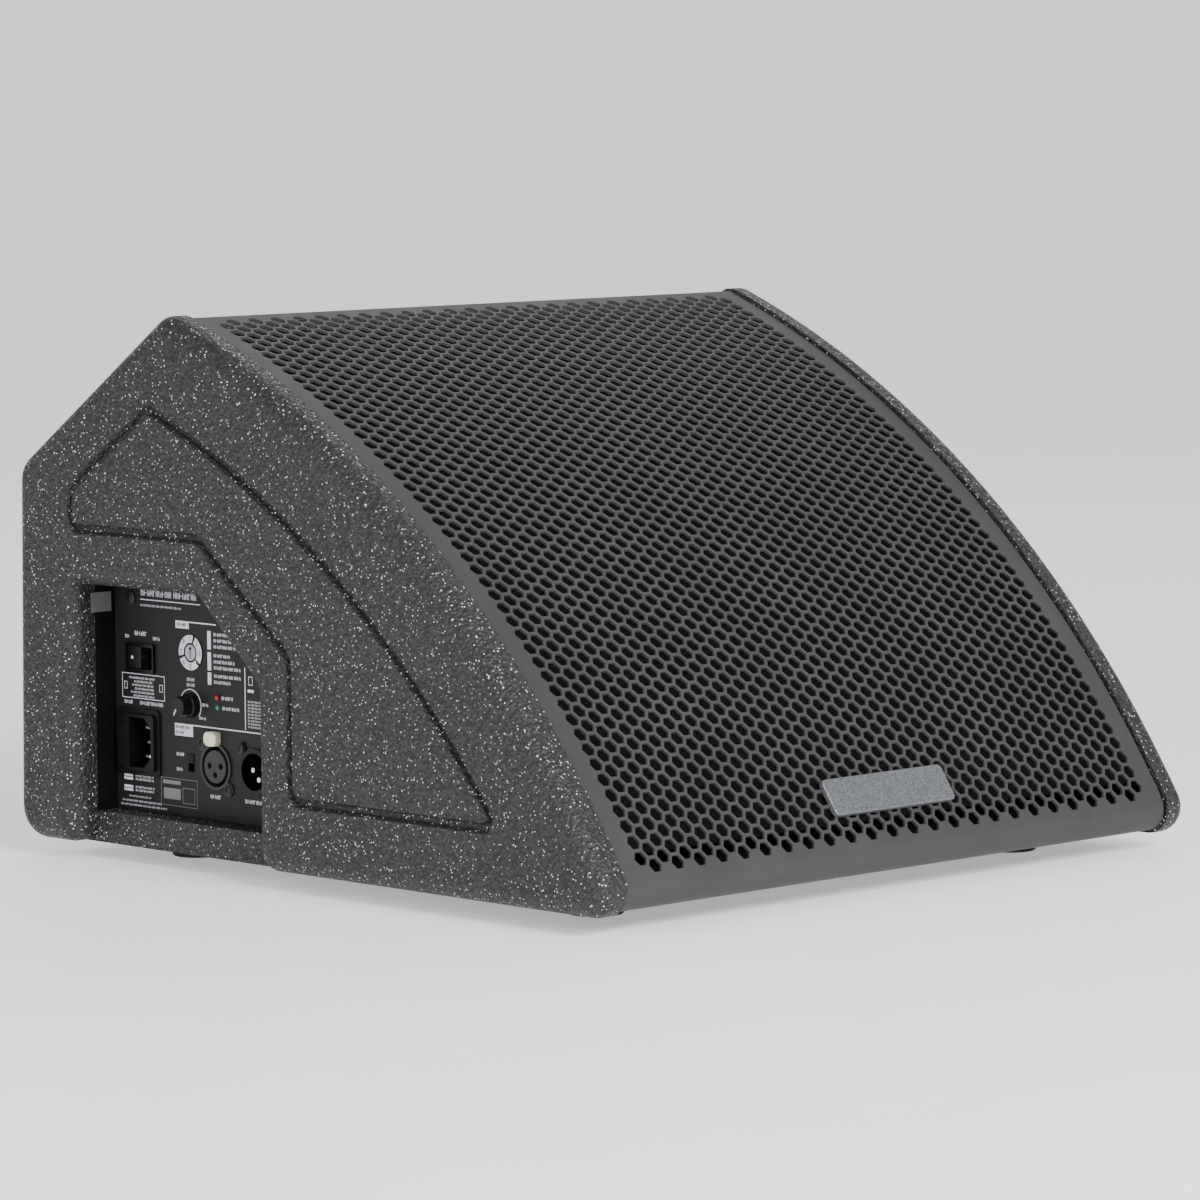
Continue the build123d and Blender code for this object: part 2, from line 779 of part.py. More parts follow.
def inlet_pins():
    """Three flat pins of the mains inlet."""
    solids = []
    for x, y in inlet_pin_spots:
        pin = Pos(x, y, 0) * chamfer(block(4, 2, -28, -1.5).faces().sort_by(Axis.Z)[-1].edges(), 0.6)
        solids.append(panel_plane(inlet_y, inlet_z) * pin)
    return group(solids)


def fuse_drawer():
    """Drawer that holds the mains fuse, with a finger notch."""
    drawer = block(5.8, 24.2, -19.5, 3.0)
    drawer -= Pos(0.8, 0, 0) * block(5.8, 20.6, -17, 0)
    drawer -= Pos(0, 9, 3.0) * Box(8, 2.0, 1.6)
    return panel_plane(inlet_y, inlet_z) * (Pos(bay_shift, 0, 0) * drawer)


def mains_fuse():
    """Glass tube fuse, 5 by 20, lying in the drawer."""
    return panel_plane(inlet_y, inlet_z) * (Pos(bay_shift + 0.4, 0, -8) * (Rot(90, 0, 0) * rod(2.4, -10, 10)))


def level_pot():
    """Level potentiometer with its shaft bush."""
    body = block(11, 11, -14, -2.1) + rod(3.5, -2.2, 0.4)
    return panel_plane(level_y, level_z) * (body - rod(2.1, -8, 1))


level_rest_turn = 150.0


def level_knob():
    """Level knob with a skirt, a cap and a pointer groove."""
    knob = turned((0, 0.6), (5.9, 0.6), (5.7, 2.4), (5.1, 3.0), (4.8, 8.2), (4.4, 8.6), (0, 8.6))
    knob += rod(2.0, -7.5, 0.7)
    knob -= Rot(0, 0, level_rest_turn) * (Pos(0, 3.6, 6.2) * Box(0.9, 4.6, 5.6))
    return panel_plane(level_y, level_z) * knob


def selector_body():
    """Housing of the preset selector, with its printed ring."""
    body = block(12, 12, -14, -2.1) + tube(8.5, 4.65, 0.02, 0.5) + tube(4.5, 3.9, -2.2, 0.3)
    body -= rod(3.9, -9, 1)
    return panel_plane(selector_y, selector_z) * group(body.solids())


def selector_rotor():
    """Slotted rotor of the preset selector."""
    rotor = rod(3.8, -8.5, 0.6) - Pos(0, 0, 0.6) * Box(1.1, 5.6, 1.6)
    return panel_plane(selector_y, selector_z) * rotor


def status_light(spot):
    """Round light with a domed lens."""
    lens = rod(1.5, -6, 0.4) + (Pos(0, 0, 0.3) * Sphere(1.5)) + rod(2.0, -6, -2.1)
    lens -= rod(3, -10, -6)
    return panel_plane(*spot) * lens


def slide_switch_body():
    """Housing of the line and microphone switch."""
    body = block(9.6, 14, -10, -2.1) + block(5.3, 9.7, -2.2, -0.1)
    return panel_plane(switch_y, switch_z) * (body - block(4.3, 8.7, -7, 1))


def slide_switch_lever():
    """Ridged lever of the switch, in its upper place."""
    lever = block(4.1, 4.4, -6.8, 0.2)
    for index in range(3):
        lever += Pos(0, -1.4 + 1.4 * index, 0) * block(4.1, 0.6, 0.1, 0.6)
    return panel_plane(switch_y, switch_z + 2.0) * lever


xlr_pin_spots = [(-4.1, 0.3), (4.1, 0.3), (0, -4.0)]


def input_connector():
    """Three-hole input socket with a slot all round for the plug's shell."""
    shell = rod(10.5, -22, 0.1) + rod(11.0, 0, 1.0)
    for y, z in connector_screw_spots[:2]:
        lug = Pos(input_y - y, z - input_z, 0) * rod(3.2, 0, 1.0)
        shell += lug
        shell -= Pos(input_y - y, z - input_z, 0) * rod(1.35, -1, 2)
    shell -= tube(9.7, 7.8, -15, 3)
    for x, y in xlr_pin_spots:
        shell -= Pos(x, y, 0) * rod(1.5, -14, 3)
    shell -= Pos(input_y - latch_y, latch_z - input_z, 0) * block(9.6, 7.4, -30, 3)
    return panel_plane(input_y, input_z) * shell


def input_latch():
    """Push tab that releases the plug."""
    tab = round_block(9.0, 7.0, 3.0, -8, 3.2)
    tab = fillet(tab.faces().sort_by(Axis.Z)[-1].edges(), 0.8)
    return panel_plane(latch_y, latch_z) * tab


def output_connector():
    """Output cup that the three output pins stand in."""
    shell = rod(10.5, -18, 0.1) + rod(11.0, 0, 1.0)
    for y, z in connector_screw_spots[2:]:
        shell += Pos(output_y - y, z - output_z, 0) * rod(3.2, 0, 1.0)
        shell -= Pos(output_y - y, z - output_z, 0) * rod(1.35, -1, 2)
    shell -= rod(8.9, -14, 3)
    for x, y in xlr_pin_spots:
        shell -= Pos(x, y, 0) * rod(1.2, -20, -13)
    return panel_plane(output_y, output_z) * shell


def output_pins():
    """Three round pins of the output connector."""
    plane = panel_plane(output_y, output_z)
    return group([plane * (Pos(x, y, 0) * rod(1.2, -20, -2)) for x, y in xlr_pin_spots])


def connector_screws():
    """Screws of the two signal connectors."""
    fixing = Pos(0, 0, 1.0) * screw(1.3, 8, 2.4, 1.2)
    return group([panel_plane(y, z) * fixing for y, z in connector_screw_spots])


def rating_sticker():
    """Blank label on the rear wall of the recess."""
    return Pos(-177.65, notch_rear_y - 0.16, 123.9) * Box(12.3, 0.25, 9.5)


def speaker_wires():
    """Two wire pairs from the amplifier tray to the driver."""
    wires = []
    for z, end in ((96, -38.0), (104, -44.0)):
        corners = [(-111.9, 60, z), (-96, 60, z), (-84, 30, z + 2), (end - 22, 26, z + 2)]
        route = FilletPolyline(*corners, radius=[12, 12])
        section = Plane(origin=route @ 0, z_dir=route % 0) * Circle(1.3)
        wires.append(sweep(section, path=route))
    return group(wires)


# ---------------------------------------------------------------- one file for each piece
pieces = {
    "left_side_board": left_side_board(),
    "right_side_board": right_side_board(),
    "base_board": base_board(),
    "back_board": back_board(),
    "slope_board": slope_board(),
    "baffle_board": baffle_board(),
    "recess_frame": recess_frame(),
    "grille": grille(),
    "grille_foam": grille_foam(),
    "grille_screws": group([Pos(x, lip_screw_y, 0) * upward_screw(1.75, 21, 3.4, 10) for x in lip_screw_x]),
    "badge_plate": badge_plate(),
    "rubber_feet": group([Pos(x, y, 0) * rubber_foot() for x, y in foot_spots]),
    "foot_screws": group([Pos(x, y, 0) * upward_screw(1.95, 21, 4.6, 4.5) for x, y in foot_spots]),
    "pole_cup": pole_cup(),
    "handle_cup": handle_cup(),
    "handle_bar": handle_bar(),
    "hardware_screws": hardware_screws(),
    "reflex_ports": group([reflex_port(side) for side in (-1, 1)]),
    "damping_wadding": damping_wadding(),
    "driver_basket": driver_basket(),
    "driver_gasket": driver_gasket(),
    "driver_screws": driver_screws(),
    "surround": surround(),
    "woofer_cone": woofer_cone(),
    "voice_coil": voice_coil(),
    "spider": spider(),
    "top_plate": top_plate(),
    "ring_magnet": ring_magnet(),
    "back_plate": back_plate(),
    "hf_horn": hf_horn(),
    "hf_driver": hf_driver(),
    "amp_panel": amp_panel(),
    "amp_chassis": amp_chassis(),
    "amp_board": amp_board(),
    "amp_transformer": amp_transformer(),
    "amp_capacitors": amp_capacitors(),
    "amp_heatsink": amp_heatsink(),
    "panel_screws": panel_screws(),
    "rocker_frame": rocker_frame(),
    "power_rocker": power_rocker(),
    "mains_inlet": mains_inlet(),
    "inlet_pins": inlet_pins(),
    "fuse_drawer": fuse_drawer(),
    "mains_fuse": mains_fuse(),
    "level_pot": level_pot(),
    "level_knob": level_knob(),
    "selector_body": selector_body(),
    "selector_rotor": selector_rotor(),
    "limit_light": status_light(limit_light),
    "signal_light": status_light(signal_light),
    "slide_switch_body": slide_switch_body(),
    "slide_switch_lever": slide_switch_lever(),
    "input_connector": input_connector(),
    "input_latch": input_latch(),
    "output_connector": output_connector(),
    "output_pins": output_pins(),
    "connector_screws": connector_screws(),
    "rating_sticker": rating_sticker(),
    "speaker_wires": speaker_wires(),
}

os.makedirs("parts", exist_ok=True)
for node, shape in pieces.items():
    export_step(shape, f"parts/{node}.step")
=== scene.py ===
from math import cos, pi, radians, sin

import bpy
import numpy as np
from bpy.props import FloatProperty, FloatVectorProperty, IntProperty, PointerProperty
from bpy.types import Operator, Panel, PropertyGroup
from mathutils import Matrix, Vector


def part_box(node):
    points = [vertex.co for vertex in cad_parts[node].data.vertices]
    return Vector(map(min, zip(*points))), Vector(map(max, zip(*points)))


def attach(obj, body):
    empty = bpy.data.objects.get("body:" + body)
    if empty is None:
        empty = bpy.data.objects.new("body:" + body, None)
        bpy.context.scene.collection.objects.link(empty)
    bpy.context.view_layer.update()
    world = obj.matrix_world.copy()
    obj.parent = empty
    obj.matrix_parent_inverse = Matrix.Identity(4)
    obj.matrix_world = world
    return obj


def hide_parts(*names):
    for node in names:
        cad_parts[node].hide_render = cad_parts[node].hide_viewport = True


bl_info = {
    "name": "Stage monitor finish",
    "version": (1, 0, 0),
    "blender": (4, 5, 0),
    "location": "View3D > Sidebar > Monitor",
    "description": "Builds the grille, the panel print and every finish of a stage monitor wedge",
    "category": "Object",
}

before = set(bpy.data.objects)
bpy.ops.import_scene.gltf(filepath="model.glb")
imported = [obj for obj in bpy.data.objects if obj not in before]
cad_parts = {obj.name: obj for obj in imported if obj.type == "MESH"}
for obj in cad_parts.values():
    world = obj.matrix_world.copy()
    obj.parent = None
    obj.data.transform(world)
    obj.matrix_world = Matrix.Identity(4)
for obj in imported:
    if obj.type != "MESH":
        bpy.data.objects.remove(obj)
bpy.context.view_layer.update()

# ---------------------------------------------------------------- places taken from the frame
CABINET = "cabinet"
NOSE_RADIUS = 0.0112
GRILLE_RADIUS = 0.5768
NOSE_ANGLE = radians(148.0)
TOP_ANGLE = radians(110.4)
FIRST_RUN = radians(1.5) * GRILLE_RADIUS
NOSE_START = -0.0032
LIP = 0.022
GRILLE_LOW, GRILLE_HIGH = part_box("grille")
NOSE_Y = GRILLE_LOW[1] + NOSE_RADIUS
NOSE_Z = GRILLE_LOW[2] + NOSE_RADIUS
ARC_Y = NOSE_Y - (GRILLE_RADIUS - NOSE_RADIUS) * cos(NOSE_ANGLE)
ARC_Z = NOSE_Z - (GRILLE_RADIUS - NOSE_RADIUS) * sin(NOSE_ANGLE)
PANEL_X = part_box("amp_panel")[0][0]
SELECTOR_RISE = PANEL_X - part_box("selector_body")[0][0]


def middle(node):
    """Middle of a CAD node's box."""
    low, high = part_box(node)
    return [(a + b) / 2 for a, b in zip(low, high)]


# ---------------------------------------------------------------- settings
class MonitorGrilleSettings(PropertyGroup):
    pitch: FloatProperty(name="Pitch", description="Distance between holes", default=0.008, unit="LENGTH")
    hole: FloatProperty(name="Hole", description="Hole across its flats", default=0.0063, unit="LENGTH")
    columns: IntProperty(name="Columns", description="Columns of holes across the sheet", default=49, min=3)
    rows: IntProperty(name="Rows", description="Holes in the longest column", default=47, min=3)
    sheet: FloatProperty(name="Sheet", description="Thickness of the steel", default=0.0015, unit="LENGTH")
    rim: FloatProperty(name="Rim", description="Rolled edge of each hole", default=0.00025, unit="LENGTH")


class MonitorFinishSettings(PropertyGroup):
    coat: FloatVectorProperty(
        name="Coat",
        description="Colour of the textured coat",
        default=(0.021, 0.021, 0.022),
        subtype="COLOR",
    )
    # Colour of the painted glints: bright spots put in the coat's colour to stand in for the beads'
    # highlights.
    fleck: FloatVectorProperty(
        name="PaintedGlint", description="Colour of the coat's painted_glints", default=(0.85, 0.86, 0.88), subtype="COLOR"
    )
    grain: FloatProperty(name="Grain", description="Size of the coat's beads", default=0.0020, unit="LENGTH")
    grille: FloatVectorProperty(
        name="Grille",
        description="Colour of the grille's paint",
        default=(0.046, 0.046, 0.0475),
        subtype="COLOR",
    )
    panel: FloatVectorProperty(
        name="Panel",
        description="Colour of the amplifier panel",
        default=(0.0095, 0.0095, 0.0099),
        subtype="COLOR",
    )
    ink: FloatVectorProperty(
        name="Ink", description="Colour of the panel's print", default=(0.62, 0.64, 0.68), subtype="COLOR"
    )


class MonitorStageSettings(PropertyGroup):
    floor: FloatVectorProperty(
        name="Floor", description="Colour of the floor", default=(0.92, 0.92, 0.925), subtype="COLOR"
    )
    key: FloatProperty(name="Key", description="Power of the main light in watts", default=105.0)
    fill: FloatProperty(name="Fill", description="Power of the fill light in watts", default=30.0)
    sky: FloatProperty(name="Sky", description="Strength of the surrounding light", default=0.38)
    glow: FloatProperty(name="Glow", description="Light given off by the backdrop itself", default=0.5)
    lens: FloatProperty(name="Lens", description="Focal length in millimetres", default=171.09)


def settings(part):
    """The named settings of the scene."""
    return getattr(bpy.context.scene, f"monitor_{part}")


# ---------------------------------------------------------------- node helpers
class Nodes:
    """Short names for adding and linking the nodes of one tree."""

    def __init__(self, tree):
        self.tree = tree

    def add(self, kind, inputs=None, **fields):
        """New node; inputs holds numbers, colours or the sockets that feed it."""
        node = self.tree.nodes.new(kind)
        for field, value in fields.items():
            setattr(node, field, value)
        for name, value in (inputs or {}).items():
            socket = node.inputs[name]
            if isinstance(value, bpy.types.NodeSocket):
                self.tree.links.new(value, socket)
            else:
                socket.default_value = value
        return node

    def math(self, operation, a, b=0.0):
        """Sum, product or other sum of two values."""
        return self.add("ShaderNodeMath", {0: a, 1: b}, operation=operation).outputs[0]

    def band(self, value, low, high, out_low=0.0, out_high=1.0):
        """Value mapped from one range to another, held at its ends."""
        sockets = {"Value": value, "From Min": low, "From Max": high, "To Min": out_low, "To Max": out_high}
        return self.add("ShaderNodeMapRange", sockets).outputs[0]

    def noise(self, where, scale, detail=2.0, roughness=0.5):
        """Plain noise."""
        sockets = {"Vector": where, "Scale": scale, "Detail": detail, "Roughness": roughness}
        return self.add("ShaderNodeTexNoise", sockets).outputs["Fac"]

    def blend(self, factor, a, b, kind="MIX"):
        """Two colours mixed."""
        node = self.add("ShaderNodeMix", {"Factor": factor}, data_type="RGBA", blend_type=kind)
        for name, value in (("A", a), ("B", b)):
            socket = [s for s in node.inputs if s.name == name and s.type == "RGBA"][0]
            if isinstance(value, bpy.types.NodeSocket):
                self.tree.links.new(value, socket)
            else:
                socket.default_value = value
        return [s for s in node.outputs if s.type == "RGBA"][0]


def new_group(name, inputs, outputs):
    """Empty shader group with the named sockets; gives the tree, its Nodes, source and sink."""
    tree = bpy.data.node_groups.new(name, "ShaderNodeTree")
    for label, default in inputs:
        kind = "NodeSocketVector" if default is None else "NodeSocketFloat"
        socket = tree.interface.new_socket(label, in_out="INPUT", socket_type=kind)
        if default is not None:
            socket.default_value = default
    for label in outputs:
        tree.interface.new_socket(label, in_out="OUTPUT", socket_type="NodeSocketFloat")
    nodes = Nodes(tree)
    return tree, nodes, nodes.add("NodeGroupInput"), nodes.add("NodeGroupOutput")


def grain_group():
    """Fine moulded or painted grain: two octaves of noise give a height, a slow one gives a variation."""
    inputs = [("Where", None), ("Size", 0.0004)]
    tree, nodes, source, sink = new_group("surface_grain", inputs, ["Height", "Variation"])
    fine_scale = nodes.math("DIVIDE", 1.0, source.outputs["Size"])
    fine = nodes.noise(source.outputs["Where"], fine_scale, 2.0)
    coarse = nodes.noise(source.outputs["Where"], nodes.math("MULTIPLY", fine_scale, 0.11), 3.0)
    height = nodes.math("ADD", nodes.math("MULTIPLY", fine, 0.75), nodes.math("MULTIPLY", coarse, 0.25))
    slow = nodes.noise(source.outputs["Where"], 22.0, 4.0, 0.6)
    tree.links.new(height, sink.inputs["Height"])
    tree.links.new(nodes.band(slow, 0.3, 0.7), sink.inputs["Variation"])
    return tree


def bead_group():
    """Sprayed coat: round beads of two sizes and pits between them, with a mask of the pits for painted shade
    and a mask of bright spots on some beads for painted glints.
    """
    names = ["Height", "Pits", "Flecks"]
    tree, nodes, source, sink = new_group("sprayed_beads", [("Where", None), ("Size", 0.0014)], names)
    scale = nodes.math("DIVIDE", 1.0, source.outputs["Size"])
    warp = nodes.add(
        "ShaderNodeTexNoise", {"Vector": source.outputs["Where"], "Scale": nodes.math("MULTIPLY", scale, 0.8)}
    )
    bend = nodes.add("ShaderNodeVectorMath", {0: warp.outputs["Color"], "Scale": 0.0014}, operation="SCALE")
    moved = nodes.add(
        "ShaderNodeVectorMath", {0: source.outputs["Where"], 1: bend.outputs[0]}, operation="ADD"
    ).outputs[0]
    beads = nodes.add(
        "ShaderNodeTexVoronoi", {"Vector": moved, "Scale": scale, "Smoothness": 0.35}, feature="SMOOTH_F1"
    )
    small = nodes.add("ShaderNodeTexVoronoi", {"Vector": moved, "Scale": nodes.math("MULTIPLY", scale, 2.0)})
    big = nodes.band(beads.outputs["Distance"], 0.05, 0.75, 1.0, 0.0)
    tiny = nodes.band(small.outputs["Distance"], 0.05, 0.7, 1.0, 0.0)
    height = nodes.math("ADD", nodes.math("MULTIPLY", big, 0.72), nodes.math("MULTIPLY", tiny, 0.28))
    # Mask for painted shade: the low ground between the beads.
    pits = nodes.band(height, 0.38, 0.12)
    chosen = nodes.add("ShaderNodeSeparateColor", {"Color": small.outputs["Color"]})
    # Mask of painted glints: bright spots on a few of the small cells, standing in for the beads' highlights.
    glint_cells = nodes.band(chosen.outputs[0], 0.875, 0.92)
    shape = nodes.band(small.outputs["Distance"], 0.41, 0.24)
    tree.links.new(height, sink.inputs["Height"])
    tree.links.new(pits, sink.inputs["Pits"])
    tree.links.new(nodes.math("MULTIPLY", glint_cells, shape), sink.inputs["Flecks"])
    return tree


def streak_group():
    """Drawn metal or cloth: noise stretched along one axis."""
    tree, nodes, source, sink = new_group("drawn_streaks", [("Where", None), ("Size", 0.0003)], ["Height"])
    scale = nodes.math("DIVIDE", 1.0, source.outputs["Size"])
    stretch = {0: source.outputs["Where"], 1: (1.0, 0.06, 1.0)}
    long = nodes.add("ShaderNodeVectorMath", stretch, operation="MULTIPLY")
    tree.links.new(nodes.noise(long.outputs[0], scale, 3.0), sink.inputs["Height"])
    return tree


def group_node(nodes, name, where, size):
    """One of the shared groups, placed in a material."""
    node = nodes.add("ShaderNodeGroup", node_tree=bpy.data.node_groups[name])
    nodes.tree.links.new(where, node.inputs["Where"])
    node.inputs["Size"].default_value = size
    return node


def start_material(name):
    """New node material; gives it, its Nodes, its Principled node and the Object coordinates."""
    material = bpy.data.materials.new(name)
    material.use_nodes = True
    nodes = Nodes(material.node_tree)
    shader = material.node_tree.nodes["Principled BSDF"]
    where = nodes.add("ShaderNodeTexCoord").outputs["Object"]
    return material, nodes, shader, where


def bump(nodes, shader, height, depth, strength=1.0):
    """Relief of the given depth in metres into the shader's normal."""
    node = nodes.add("ShaderNodeBump", {"Height": height, "Distance": depth, "Strength": strength})
    nodes.tree.links.new(node.outputs["Normal"], shader.inputs["Normal"])


def set_shader(shader, values):
    """Plain numbers and colours on the shader's own sockets."""
    for name, value in values.items():
        shader.inputs[name].default_value = value


def rgba(colour, gain=1.0):
    """Colour with full alpha, brightened by a gain."""
    return (*[min(1.0, part * gain) for part in colour[:3]], 1.0)


def plain_finish(name, colour, rough, size, depth, vary, group="surface_grain", **constants):
    """Moulded, painted or metal finish: colour and roughness that drift, with a fine grain."""
    material, nodes, shader, where = start_material(name)
    grain = group_node(nodes, "surface_grain", where, size)
    drift = grain.outputs["Variation"]
    worn = nodes.blend(drift, rgba(colour, 1 - vary), rgba(colour, 1 + vary))
    speck = nodes.band(grain.outputs["Height"], 0.35, 0.65, 0.0, 1.0)
    tint = nodes.blend(nodes.math("MULTIPLY", speck, 0.3), worn, rgba(colour, 1 + 2 * vary))
    nodes.tree.links.new(tint, shader.inputs["Base Color"])
    roughness = nodes.band(drift, 0.0, 1.0, rough * 0.88, min(1.0, rough * 1.12))
    nodes.tree.links.new(roughness, shader.inputs["Roughness"])
    relief = grain
    if group != "surface_grain":
        relief = group_node(nodes, group, where, size)
    bump(nodes, shader, relief.outputs["Height"], depth)
    set_shader(shader, constants)
    return material


def coat_finish():
    """Hard sprayed coat: dark beads, painted shade darkening the pits, and painted glints as bright spots on
    some beads.
    """
    values = settings("finish")
    material, nodes, shader, where = start_material("coat")
    beads = group_node(nodes, "sprayed_beads", where, values.grain)
    slow = nodes.noise(where, 9.0, 3.0)
    base = nodes.blend(nodes.band(slow, 0.3, 0.7), rgba(values.coat, 0.88), rgba(values.coat, 1.12))
    # Painted shade: the pits darkened towards a quarter of the coat's colour, where shadow falls between the
    # beads.
    pit_shaded = nodes.blend(nodes.math("MULTIPLY", beads.outputs["Pits"], 0.75), base, rgba(values.coat, 0.25))
    # Painted glints: a few small spots turned to the bright glint colour.
    glint_painted = nodes.blend(beads.outputs["Flecks"], pit_shaded, rgba(values.fleck))
    nodes.tree.links.new(glint_painted, shader.inputs["Base Color"])
    nodes.tree.links.new(nodes.band(beads.outputs["Height"], 0.2, 0.9, 0.6, 0.27), shader.inputs["Roughness"])
    bump(nodes, shader, beads.outputs["Height"], 0.0008, 1.0)
    set_shader(shader, {"Specular IOR Level": 0.42})
    return material


def badge_finish():
    """Grey plate with a fine metallic sparkle."""
    material, nodes, shader, where = start_material("badge")
    spots = nodes.add("ShaderNodeTexVoronoi", {"Vector": where, "Scale": 2600.0})
    pick = nodes.add("ShaderNodeSeparateColor", {"Color": spots.outputs["Color"]})
    tone = nodes.band(pick.outputs[0], 0.2, 0.95)
    colour = nodes.blend(tone, (0.10, 0.105, 0.11, 1.0), (0.27, 0.28, 0.295, 1.0))
    nodes.tree.links.new(colour, shader.inputs["Base Color"])
    nodes.tree.links.new(nodes.band(tone, 0.0, 1.0, 0.5, 0.3), shader.inputs["Roughness"])
    set_shader(shader, {"Metallic": 0.55})
    bump(nodes, shader, tone, 0.00005)
    return material


def foam_finish():
    """Open-cell foam: black cells with slightly lighter threads."""
    material, nodes, shader, where = start_material("foam")
    cells = nodes.add("ShaderNodeTexVoronoi", {"Vector": where, "Scale": 900.0}, feature="DISTANCE_TO_EDGE")
    threads = nodes.band(cells.outputs["Distance"], 0.12, 0.02)
    colour = nodes.blend(threads, (0.0015, 0.0015, 0.0015, 1.0), (0.008, 0.008, 0.009, 1.0))
    nodes.tree.links.new(colour, shader.inputs["Base Color"])
    set_shader(shader, {"Roughness": 0.95, "Specular IOR Level": 0.1})
    bump(nodes, shader, threads, 0.0004)
    return material


def lamp_finish(name, colour, glow):
    """Tinted lens of a small light."""
    material = plain_finish(name, colour, 0.16, 0.0006, 0.00001, 0.15)
    shader = material.node_tree.nodes["Principled BSDF"]
    set_shader(shader, {"Emission Color": rgba(colour), "Emission Strength": glow, "Coat Weight": 0.6})
    return material


DULL = {"Specular IOR Level": 0.15}
HALF_DULL = {"Specular IOR Level": 0.3}
METAL = {"Metallic": 1.0}
WORN_METAL = {"Metallic": 0.8}
CLEAR = {"Alpha": 0.4}
PLAIN = {}
GRAIN = "surface_grain"
STREAKS = "drawn_streaks"

# finish: colour or the name of a setting, roughness, grain size, relief depth, drift, relief group, constants
PLAIN_FINISHES = {
    "grille": ("grille", 0.56, 0.0005, 0.00002, 0.12, GRAIN, DULL),
    "panel": ("panel", 0.5, 0.0003, 0.00002, 0.12, GRAIN, HALF_DULL),
    "faint_ink": ((0.16, 0.16, 0.165), 0.5, 0.0003, 0.00001, 0.06, GRAIN, PLAIN),
    "ink": ("ink", 0.55, 0.0003, 0.00001, 0.06, GRAIN, PLAIN),
    "lining": ((0.0022, 0.0022, 0.0025), 0.6, 0.0005, 0.00002, 0.2, GRAIN, DULL),
    "plastic": ((0.0035, 0.0035, 0.0038), 0.42, 0.00035, 0.00003, 0.2, GRAIN, HALF_DULL),
    "insert": ((0.022, 0.022, 0.023), 0.5, 0.0003, 0.00002, 0.2, GRAIN, PLAIN),
    "gloss": ((0.003, 0.003, 0.0033), 0.22, 0.001, 0.00001, 0.2, GRAIN, HALF_DULL),
    "rubber": ((0.012, 0.012, 0.012), 0.75, 0.0004, 0.00005, 0.3, GRAIN, PLAIN),
    "black_steel": ((0.03, 0.03, 0.032), 0.3, 0.0003, 0.00002, 0.3, GRAIN, WORN_METAL),
    "zinc": ((0.55, 0.55, 0.56), 0.3, 0.0003, 0.00001, 0.1, STREAKS, METAL),
    "alloy": ((0.5, 0.5, 0.51), 0.38, 0.0004, 0.00001, 0.08, STREAKS, METAL),
    "nickel": ((0.75, 0.73, 0.68), 0.22, 0.0003, 0.00001, 0.1, GRAIN, METAL),
    "casting": ((0.02, 0.02, 0.02), 0.55, 0.0012, 0.0001, 0.25, GRAIN, PLAIN),
    "ferrite": ((0.03, 0.03, 0.032), 0.6, 0.0006, 0.00005, 0.2, GRAIN, PLAIN),
    "paper": ((0.018, 0.018, 0.018), 0.85, 0.0012, 0.00012, 0.3, GRAIN, PLAIN),
    "cloth": ((0.55, 0.42, 0.16), 0.9, 0.0006, 0.0001, 0.2, STREAKS, PLAIN),
    "copper": ((0.72, 0.32, 0.16), 0.35, 0.0002, 0.00004, 0.1, STREAKS, METAL),
    "wadding": ((0.7, 0.7, 0.67), 0.95, 0.003, 0.0008, 0.1, GRAIN, PLAIN),
    "circuit": ((0.01, 0.10, 0.035), 0.35, 0.001, 0.00003, 0.3, GRAIN, PLAIN),
    "sleeve": ((0.01, 0.012, 0.03), 0.25, 0.001, 0.00001, 0.2, GRAIN, PLAIN),
    "wire": ((0.32, 0.01, 0.01), 0.4, 0.0006, 0.00002, 0.15, GRAIN, PLAIN),
    "rotor": ((0.36, 0.36, 0.41), 0.45, 0.0004, 0.00001, 0.08, GRAIN, PLAIN),
    "cream": ((0.78, 0.74, 0.55), 0.32, 0.0006, 0.00001, 0.05, GRAIN, PLAIN),
    "label": ((0.13, 0.13, 0.132), 0.4, 0.0006, 0.00002, 0.15, GRAIN, PLAIN),
    "glass": ((0.9, 0.95, 0.95), 0.05, 0.001, 0.000005, 0.02, GRAIN, CLEAR),
}


def make_finishes():
    """Every finish of the monitor, by name."""
    values = settings("finish")
    finishes = {"coat": coat_finish(), "foam": foam_finish(), "badge": badge_finish()}
    for name, (colour, *numbers, group, constants) in PLAIN_FINISHES.items():
        if isinstance(colour, str):
            colour = getattr(values, colour)
        finishes[name] = plain_finish(name, colour, *numbers, group, **constants)
    finishes["red"] = lamp_finish("red", (0.22, 0.008, 0.007), 0.12)
    finishes["green"] = lamp_finish("green", (0.03, 0.12, 0.055), 0.12)
    return finishes


